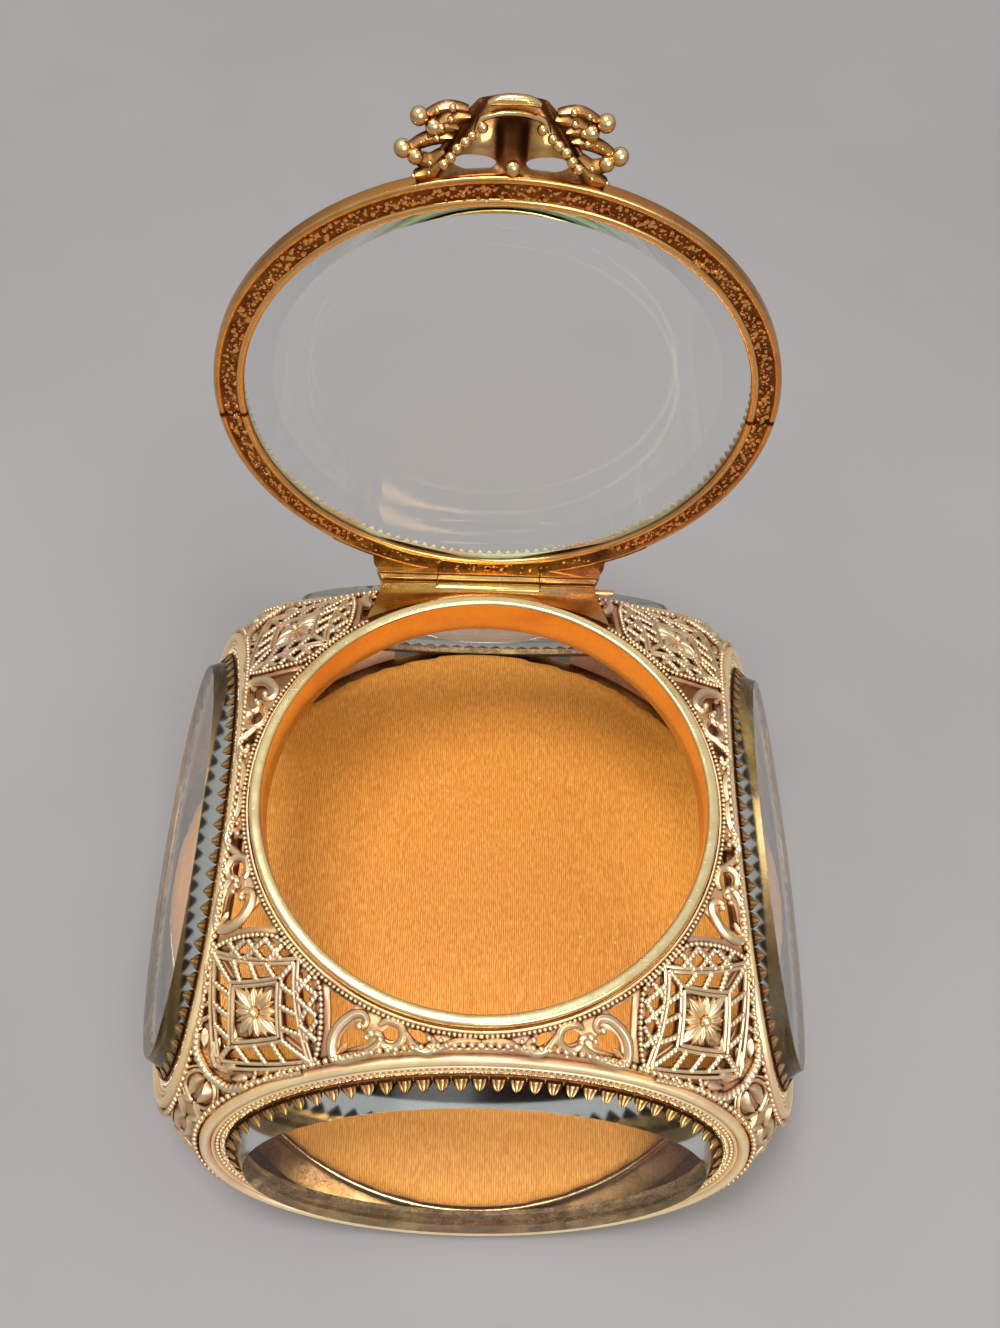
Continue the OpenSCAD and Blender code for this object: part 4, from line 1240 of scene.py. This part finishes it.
class Bench:
    """A node tree with short ways to add nodes to it; an input is a value or a link."""

    def __init__(self, tree):
        self.tree = tree

    def node(self, kind, inputs=None, **settings):
        made = self.tree.nodes.new(kind)
        for key, value in settings.items():
            setattr(made, key, value)
        for key, value in (inputs or {}).items():
            self.feed(made.inputs[key], value)
        return made

    def feed(self, socket, value):
        if isinstance(value, bpy.types.NodeSocket):
            self.tree.links.new(value, socket)
        else:
            socket.default_value = value

    def sum(self, kind, *values, clamp=False):
        made = self.node("ShaderNodeMath", operation=kind, use_clamp=clamp)
        for socket, value in zip(made.inputs, values):
            self.feed(socket, value)
        return made.outputs[0]

    def blend(self, share, a, b, kind="MIX"):
        made = self.node("ShaderNodeMix", data_type="RGBA", blend_type=kind)
        for k, value in ((0, share), (6, a), (7, b)):
            self.feed(made.inputs[k], value)
        return made.outputs[2]

    def between(self, value, low, high, to_low=0.0, to_high=1.0):
        made = self.node("ShaderNodeMapRange", interpolation_type="SMOOTHSTEP")
        for k, v in enumerate((value, low, high, to_low, to_high)):
            self.feed(made.inputs[k], v)
        return made.outputs[0]

    def noise(self, place, scale, detail=3.0, rough=0.55):
        made = self.node("ShaderNodeTexNoise", {"Vector": place, "Scale": scale,
                                                "Detail": detail, "Roughness": rough})
        return made.outputs["Fac"]

    def stretched(self, place, scale):
        return self.node("ShaderNodeMapping", {"Vector": place, "Scale": scale}).outputs[0]


def colour(r, g, b):
    """A colour written as a painter mixes it, in display values of 0 to 255."""
    v = np.array([r, g, b]) / 255
    v = np.where(v < 0.04045, v / 12.92, ((v + 0.055) / 1.055) ** 2.4)
    return (*[float(x) for x in v], 1.0)


def effect(name, inputs, outputs):
    """An empty node group with its sockets, and its input and output nodes."""
    tree = bpy.data.node_groups.new(name, "ShaderNodeTree")
    for label, kind, value in inputs:
        socket = tree.interface.new_socket(label, in_out="INPUT", socket_type=kind)
        socket.default_value = value
    for label, kind in outputs:
        tree.interface.new_socket(label, in_out="OUTPUT", socket_type=kind)
    return Bench(tree), tree.nodes.new("NodeGroupInput"), tree.nodes.new("NodeGroupOutput")


FLOAT, COLOUR = "NodeSocketFloat", "NodeSocketColor"


def aged_gilding_and_painted_light():
    """Old gilding: brown grime and painted shade lie in the recesses, grime also in patches, the
    open metal drifts between yellow and rosy, and the tops are worn to a pale cream with painted
    highlights."""
    b, given, out = effect("aged gilding and painted light", [
        ("Metal", COLOUR, colour(224, 174, 98)), ("Rubbed", COLOUR, colour(252, 226, 160)),
        ("Rosy", COLOUR, colour(224, 168, 118)), ("Dirt", COLOUR, colour(84, 48, 24)),
        ("Relief", FLOAT, 0.5), ("Dirtiness", FLOAT, 0.5), ("Shine", FLOAT, 0.5)],
        [("Colour", COLOUR), ("Roughness", FLOAT), ("Height", FLOAT)])
    place = b.node("ShaderNodeTexCoord").outputs["Object"]
    drift = b.noise(place, 70.0, 4.0)
    patch = b.noise(place, 330.0, 5.0, 0.62)
    grain = b.noise(place, 2600.0, 3.0, 0.6)
    take = given.outputs
    metal = b.blend(b.between(drift, 0.42, 0.66), take["Metal"], take["Rosy"])
    level = b.sum("ADD", take["Relief"], b.sum("MULTIPLY", b.sum("SUBTRACT", patch, 0.5), 0.5))
    # High relief paints the metal pale: wear, and painted highlight on the tops.
    rubbed_and_highlight = b.between(level, 0.62, 1.15, 0.0, 0.85)
    metal = b.blend(rubbed_and_highlight, metal, take["Rubbed"])
    # Low relief darkens the metal: dirt, and painted shade in the recesses.
    depth = b.sum("SUBTRACT", b.sum("ADD", take["Dirtiness"],
                                    b.sum("MULTIPLY", b.sum("SUBTRACT", grain, 0.5), 0.35)),
                  level)
    dirt_and_shade = b.between(depth, -0.18, 0.42)
    b.feed(out.inputs["Colour"], b.blend(dirt_and_shade, metal, take["Dirt"]))
    rough = b.between(b.sum("ADD", b.sum("MULTIPLY", dirt_and_shade, 0.5),
                            b.sum("MULTIPLY", patch, 0.5)), 0.0, 1.0, 0.2, 0.62)
    b.feed(out.inputs["Roughness"],
           b.sum("SUBTRACT", rough, b.sum("MULTIPLY", take["Shine"], 0.16), clamp=True))
    b.feed(out.inputs["Height"], b.sum("ADD", b.sum("MULTIPLY", grain, 0.5), patch))
    return b.tree


def soft_scratches():
    """Fine scratches from rubbing: noise drawn out into threads in two directions."""
    b, given, out = effect("soft scratches", [("Amount", FLOAT, 0.5)], [("Mask", FLOAT)])
    place = b.node("ShaderNodeTexCoord").outputs["Object"]
    one = b.noise(b.stretched(place, (300.0, 5200.0, 900.0)), 1.0, 2.0)
    two = b.noise(b.stretched(place, (5200.0, 420.0, 900.0)), 1.0, 2.0)
    thread = b.sum("MAXIMUM", b.between(one, 0.66, 0.74), b.between(two, 0.68, 0.76))
    b.feed(out.inputs["Mask"], b.sum("MULTIPLY", thread, given.outputs["Amount"]))
    return b.tree


GILDING, SCRATCHES = aged_gilding_and_painted_light(), soft_scratches()


def gilt(name, dirt_and_shade_amount, shine, bump=0.25, scratches=0.3, metallic=1.0, **colours):
    """A finish of old gilt on metal: dirt and wear, painted shade and painted highlights,
    set by the relief of its own piece.
    """
    made = bpy.data.materials.new(name)
    made.use_nodes = True
    b = Bench(made.node_tree)
    shader = made.node_tree.nodes["Principled BSDF"]
    relief = b.node("ShaderNodeAttribute", attribute_name="relief").outputs["Fac"]
    age = b.node("ShaderNodeGroup", node_tree=GILDING)
    for key, value in {"Relief": relief, "Dirtiness": dirt_and_shade_amount, "Shine": shine,
                       **colours}.items():
        b.feed(age.inputs[key], value)
    rub = b.node("ShaderNodeGroup", node_tree=SCRATCHES)
    rub.inputs["Amount"].default_value = scratches
    rough = b.sum("ADD", age.outputs["Roughness"], b.sum("MULTIPLY", rub.outputs["Mask"], 0.3))
    b.feed(shader.inputs["Base Color"], age.outputs["Colour"])
    b.feed(shader.inputs["Roughness"], rough)
    shader.inputs["Metallic"].default_value = metallic
    height = b.sum("SUBTRACT", age.outputs["Height"], rub.outputs["Mask"])
    relieved = b.node("ShaderNodeBump", {"Height": height, "Strength": bump,
                                         "Distance": 0.00012})
    b.feed(shader.inputs["Normal"], relieved.outputs[0])
    return made


def bevelled_glass():
    """Clear glass with painted dark green shade where its relief is high, on the ground bevel and
    the edge, and less smooth there. Light for shadows passes straight through, so that the
    inside of the box is lit."""
    made = bpy.data.materials.new("bevelled glass")
    made.use_nodes = True
    b = Bench(made.node_tree)
    shader = made.node_tree.nodes["Principled BSDF"]
    ground = b.node("ShaderNodeAttribute", attribute_name="relief").outputs["Fac"]
    # The greener colour is painted shade: a dark band on the bevel and edge, green like the glass.
    b.feed(shader.inputs["Base Color"], b.blend(ground, (0.985, 0.995, 0.99, 1),
                                                (0.28, 0.42, 0.38, 1)))
    shader.inputs["IOR"].default_value = 1.2
    shader.inputs["Transmission Weight"].default_value = 1.0
    place = b.node("ShaderNodeTexCoord").outputs["Object"]
    smear = b.noise(place, 60.0, 4.0, 0.6)
    b.feed(shader.inputs["Roughness"], b.sum("ADD", b.between(smear, 0.5, 0.75, 0.0, 0.03),
                                             b.between(ground, 0.14, 0.28, 0.0, 0.2)))
    clear = b.node("ShaderNodeBsdfTransparent", {"Color": (0.8, 0.82, 0.81, 1)})
    path = b.node("ShaderNodeLightPath")
    both = b.node("ShaderNodeMixShader", {0: path.outputs["Is Shadow Ray"]})
    b.feed(both.inputs[1], shader.outputs[0])
    b.feed(both.inputs[2], clear.outputs[0])
    ends = made.node_tree.nodes["Material Output"]
    b.feed(ends.inputs["Surface"], both.outputs[0])
    depth = b.node("ShaderNodeVolumeAbsorption", {"Color": (0.55, 0.8, 0.7, 1),
                                                  "Density": 7.0})
    b.feed(ends.inputs["Volume"], depth.outputs[0])
    return made


def ribbed_satin():
    """Satin with fine ribs front to back, threads that shift in tone along their length, faint
    creases and a few specks of lint."""
    made = bpy.data.materials.new("ribbed satin")
    made.use_nodes = True
    b = Bench(made.node_tree)
    shader = made.node_tree.nodes["Principled BSDF"]
    place = b.node("ShaderNodeTexCoord").outputs["Object"]
    sway = b.noise(place, 45.0, 2.0)
    x = b.node("ShaderNodeSeparateXYZ", {0: place}).outputs["X"]
    x = b.sum("ADD", x, b.sum("MULTIPLY", sway, 0.0012))
    rib = b.sum("SINE", b.sum("MULTIPLY", x, 2 * math.pi / 0.00034))
    rib = b.sum("MULTIPLY_ADD", rib, 0.5, 0.5)
    thread = b.noise(b.stretched(place, (3400.0, 900.0, 1500.0)), 1.0, 2.0)
    slub = b.noise(b.stretched(place, (900.0, 160.0, 300.0)), 1.0, 3.0)
    shade = b.sum("ADD", b.sum("MULTIPLY", thread, 0.7), b.sum("MULTIPLY", rib, 0.26))
    tone = b.blend(b.between(shade, 0.25, 0.75), colour(207, 115, 24), colour(249, 176, 72))
    tone = b.blend(b.between(slub, 0.4, 0.72, 0.0, 0.4), tone, colour(232, 142, 46))
    lint = b.node("ShaderNodeTexVoronoi", {"Vector": place, "Scale": 330.0}).outputs
    fluff = b.noise(place, 1900.0, 2.0)
    speck = b.between(b.sum("ADD", lint["Distance"], b.sum("MULTIPLY", fluff, 0.08)),
                      0.075, 0.11, 1.0, 0.0)
    some = b.between(b.noise(place, 55.0, 1.0), 0.55, 0.6)
    speck = b.sum("MULTIPLY", speck, some)
    b.feed(shader.inputs["Base Color"],
           b.blend(b.sum("MULTIPLY", speck, 0.7), tone, colour(246, 222, 180)))
    b.feed(shader.inputs["Roughness"], b.between(shade, 0.2, 0.8, 0.62, 0.42))
    shader.inputs["Specular IOR Level"].default_value = 0.35
    shader.inputs["Sheen Weight"].default_value = 0.15
    shader.inputs["Sheen Roughness"].default_value = 0.35
    height = b.sum("ADD", b.sum("MULTIPLY", rib, 0.3), b.sum("ADD", thread, speck))
    relieved = b.node("ShaderNodeBump", {"Height": height, "Strength": 0.5,
                                         "Distance": 0.00012})
    b.feed(shader.inputs["Normal"], relieved.outputs[0])
    return made


def card():
    """Grey-brown card with short fibres."""
    made = bpy.data.materials.new("pad card")
    made.use_nodes = True
    b = Bench(made.node_tree)
    shader = made.node_tree.nodes["Principled BSDF"]
    place = b.node("ShaderNodeTexCoord").outputs["Object"]
    fibre = b.noise(b.stretched(place, (400.0, 1500.0, 900.0)), 1.0, 4.0)
    b.feed(shader.inputs["Base Color"],
           b.blend(b.between(fibre, 0.35, 0.65), colour(168, 142, 108), colour(196, 172, 136)))
    shader.inputs["Roughness"].default_value = 0.9
    return made


def floor_finish():
    """Plain pale grey paper."""
    made = bpy.data.materials.new("grey paper")
    made.use_nodes = True
    b = Bench(made.node_tree)
    shader = made.node_tree.nodes["Principled BSDF"]
    place = b.node("ShaderNodeTexCoord").outputs["Object"]
    tooth = b.noise(place, 9.0, 3.0)
    b.feed(shader.inputs["Base Color"],
           b.blend(b.between(tooth, 0.3, 0.7), colour(152, 149, 148), colour(157, 154, 153)))
    shader.inputs["Roughness"].default_value = 0.85
    shader.inputs["Specular IOR Level"].default_value = 0.15
    return made


# In each finish the dark colour stands for dirt and painted shade, and the pale one for wear and
# painted highlight.
FILIGREE = gilt("aged gilt filigree", 0.4, -0.6, 0.35, 0.2, Metal=colour(226, 184, 134),
                Rubbed=colour(255, 238, 196), Rosy=colour(222, 178, 148),
                Dirt=colour(78, 42, 22))
POLISHED = gilt("polished gilt", 0.14, 0.4, 0.1, 0.6, Metal=colour(250, 210, 134),
                Rubbed=colour(255, 240, 184))
RING_GILT = gilt("ring gilt", 0.22, -0.6, 0.25, 0.4, 0.65, Metal=colour(252, 216, 156),
                 Rubbed=colour(255, 246, 208), Rosy=colour(238, 196, 158),
                 Dirt=colour(78, 44, 24))
# The lid's teeth are painted pale and matt: painted light on undersides that face the viewer in
# shade.
CRIMP_GILT = gilt("lid crimp gilt", 0.05, -1.0, 0.1, 0.0, 0.3, Metal=colour(226, 208, 170),
                  Rubbed=colour(240, 230, 206))
GALLERY = gilt("gilt gallery", 0.5, 0.1, Metal=colour(206, 154, 86),
               Dirt=colour(54, 30, 16))
LID_GILT = gilt("lid gilt", 0.38, 0.5, 0.2, 0.4, Metal=colour(204, 142, 72),
                Rubbed=colour(240, 196, 126), Rosy=colour(190, 122, 70),
                Dirt=colour(86, 46, 20))
BASE_GILT = gilt("base gilt", 0.52, 0.2, 0.3, Metal=colour(206, 152, 80))
HINGE_GILT = gilt("hinge gilt", 0.32, 0.4, 0.16, 0.5, Metal=colour(232, 182, 96))
PIN_GILT = gilt("pin gilt", 0.3, 0.6, 0.1, 0.3, Metal=colour(224, 166, 118))
TAB_GILT = gilt("tab gilt", 0.5, 0.5, 0.3, Metal=colour(212, 158, 86))
GLASS, SATIN, CARD = bevelled_glass(), ribbed_satin(), card()


# Putting the box together

for q, name in enumerate(QUARTERS):
    made = corner_work(q) + edge_skirt(q)
    made = joined(made + [pierced_sheet(q)])
    piece("filigree_corner_" + name, made, FILIGREE, "box",
          ["corner_panel_" + name])
for k, name in enumerate(SIDES):
    piece("window_ring_" + name, joined(window_ring(k) + [stipple_grains(k, 20 + k)]),
          RING_GILT, "box", ["window_frame_" + name])
    piece("crimped_gallery_" + name, joined(window_gallery(k)), GALLERY, "box",
          ["window_gallery_" + name])
    piece("side_pane_" + name, window_pane(k), GLASS, "box",
          ["window_glass_" + name], 18.0)
piece("rim_ring", rim(), POLISHED, "box", ["rim_collar"])
piece("lid_ring", joined([lid_ring()] + lid_milling()), LID_GILT, "lid",
      ["lid_frame"])
piece("lid_crimps", joined(lid_crimps()), CRIMP_GILT, "lid", ["lid_gallery"])
piece("lid_pane", lid_pane(), GLASS, "lid", ["lid_glass"], 18.0)
piece("tab_crown", joined(tab_work()), TAB_GILT, "lid", ["thumb_tab"])
piece("tab_balls", tab_balls(), TAB_GILT, "lid", ["tab_finials"])
piece("floor_pan", joined(list(pan())), BASE_GILT, "box", ["base_pan"])
pad = piece("satin_pad", cushion_shape(), SATIN, "box", ["pad_cushion"])
stuffed(pad)
rim_wire = [(-44.9, 0.05), (0, 0.05), (44.9, 0.05)]
made = []
for q in range(4):
    for path, normal in strokes(q, rim_wire, False, 60):
        path, normal = spaced(path, normal, 0.6)
        made.append(carried(path + (0, 0, 0.05), normal, 0.2, 0.2, round_section(), 0.3))
piece("rim_wire", joined(made), FILIGREE, "box", ["rim_bead_wire"])
piece("hinge_body_leaf", joined(hinge_body()), HINGE_GILT, "box",
      ["hinge_leaf_body"])
piece("hinge_lid_leaf", joined(hinge_lid()), HINGE_GILT, "lid",
      ["hinge_leaf_lid"])
piece("hinge_rod", rod(AXIS_Y, AXIS_Z, PIN_R - 0.02, -BARREL_L / 2 - 0.2,
                       BARREL_L / 2 + PIN_PROUD, 0.35), PIN_GILT, "box",
      ["hinge_pin"])
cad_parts["pad_board"].data.materials.clear()
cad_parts["pad_board"].data.materials.append(CARD)


# Camera, light and floor

def look(pitch, yaw, roll):
    """The camera's turn: level towards +Y, tipped down by the pitch, swung by the yaw about
    the upright and rolled about its own line of sight."""
    p, y, r = (math.radians(v) for v in (pitch, yaw, roll))
    ahead = np.array([0, math.cos(p), -math.sin(p)])
    up = np.array([0, math.sin(p), math.cos(p)])
    swing = np.array([[math.cos(y), -math.sin(y), 0], [math.sin(y), math.cos(y), 0], [0, 0, 1]])
    ahead, up, right = swing @ ahead, swing @ up, swing @ np.array([1.0, 0, 0])
    across = math.cos(r) * right + math.sin(r) * up
    upward = -math.sin(r) * right + math.cos(r) * up
    return Matrix(np.stack([across, upward, -ahead], 1).tolist()).to_4x4()


camera_data = bpy.data.cameras.new("camera")
camera_data.sensor_fit = "AUTO"
camera_data.sensor_width = 36.0
camera_data.lens = 1260 / 1328 * 36
camera_data.clip_start = 0.01
camera = bpy.data.objects.new("camera", camera_data)
camera.matrix_world = (Matrix.Translation((-0.00371, -0.07291, 0.2021))
                       @ look(59.23, -3.38, 4.51))
scene.collection.objects.link(camera)
scene.camera = camera


def soft_lamp(name, place, aim, size, power):
    """A square lamp of the given side in metres, turned to face a point."""
    data = bpy.data.lights.new(name, "AREA")
    data.shape, data.size, data.energy = "SQUARE", size, power
    lamp = bpy.data.objects.new(name, data)
    lamp.location = place
    way = Matrix.Translation(place).to_translation() - Matrix.Translation(aim).to_translation()
    lamp.rotation_euler = way.to_track_quat("Z", "Y").to_euler()
    scene.collection.objects.link(lamp)


soft_lamp("window_light", (-0.14, 0.02, 0.86), (0, 0, 0.03), 0.3, 4.3)
soft_lamp("fill_light", (0.25, -0.5, 0.5), (0, 0, 0.03), 0.4, 2.1)

world = bpy.data.worlds.new("studio")
scene.world = world
world.use_nodes = True
studio = Bench(world.node_tree)
sky = studio.node("ShaderNodeTexCoord").outputs["Generated"]
height = studio.node("ShaderNodeSeparateXYZ", {0: sky}).outputs["Z"]
tone = studio.blend(studio.between(height, -0.1, 0.7), (0.36, 0.35, 0.35, 1),
                    (0.72, 0.72, 0.73, 1))
ground = world.node_tree.nodes["Background"]
studio.feed(ground.inputs["Color"], tone)
ground.inputs["Strength"].default_value = 0.85

half = 2.5
sheet_mesh = bpy.data.meshes.new("paper_floor")
sheet_mesh.from_pydata([(-half, -half, 0), (half, -half, 0), (half, half, 0), (-half, half, 0)],
                       [], [(0, 1, 2, 3)])
sheet_mesh.materials.append(floor_finish())
paper = bpy.data.objects.new("paper_floor", sheet_mesh)
scene.collection.objects.link(paper)

scene.view_settings.view_transform = "Standard"
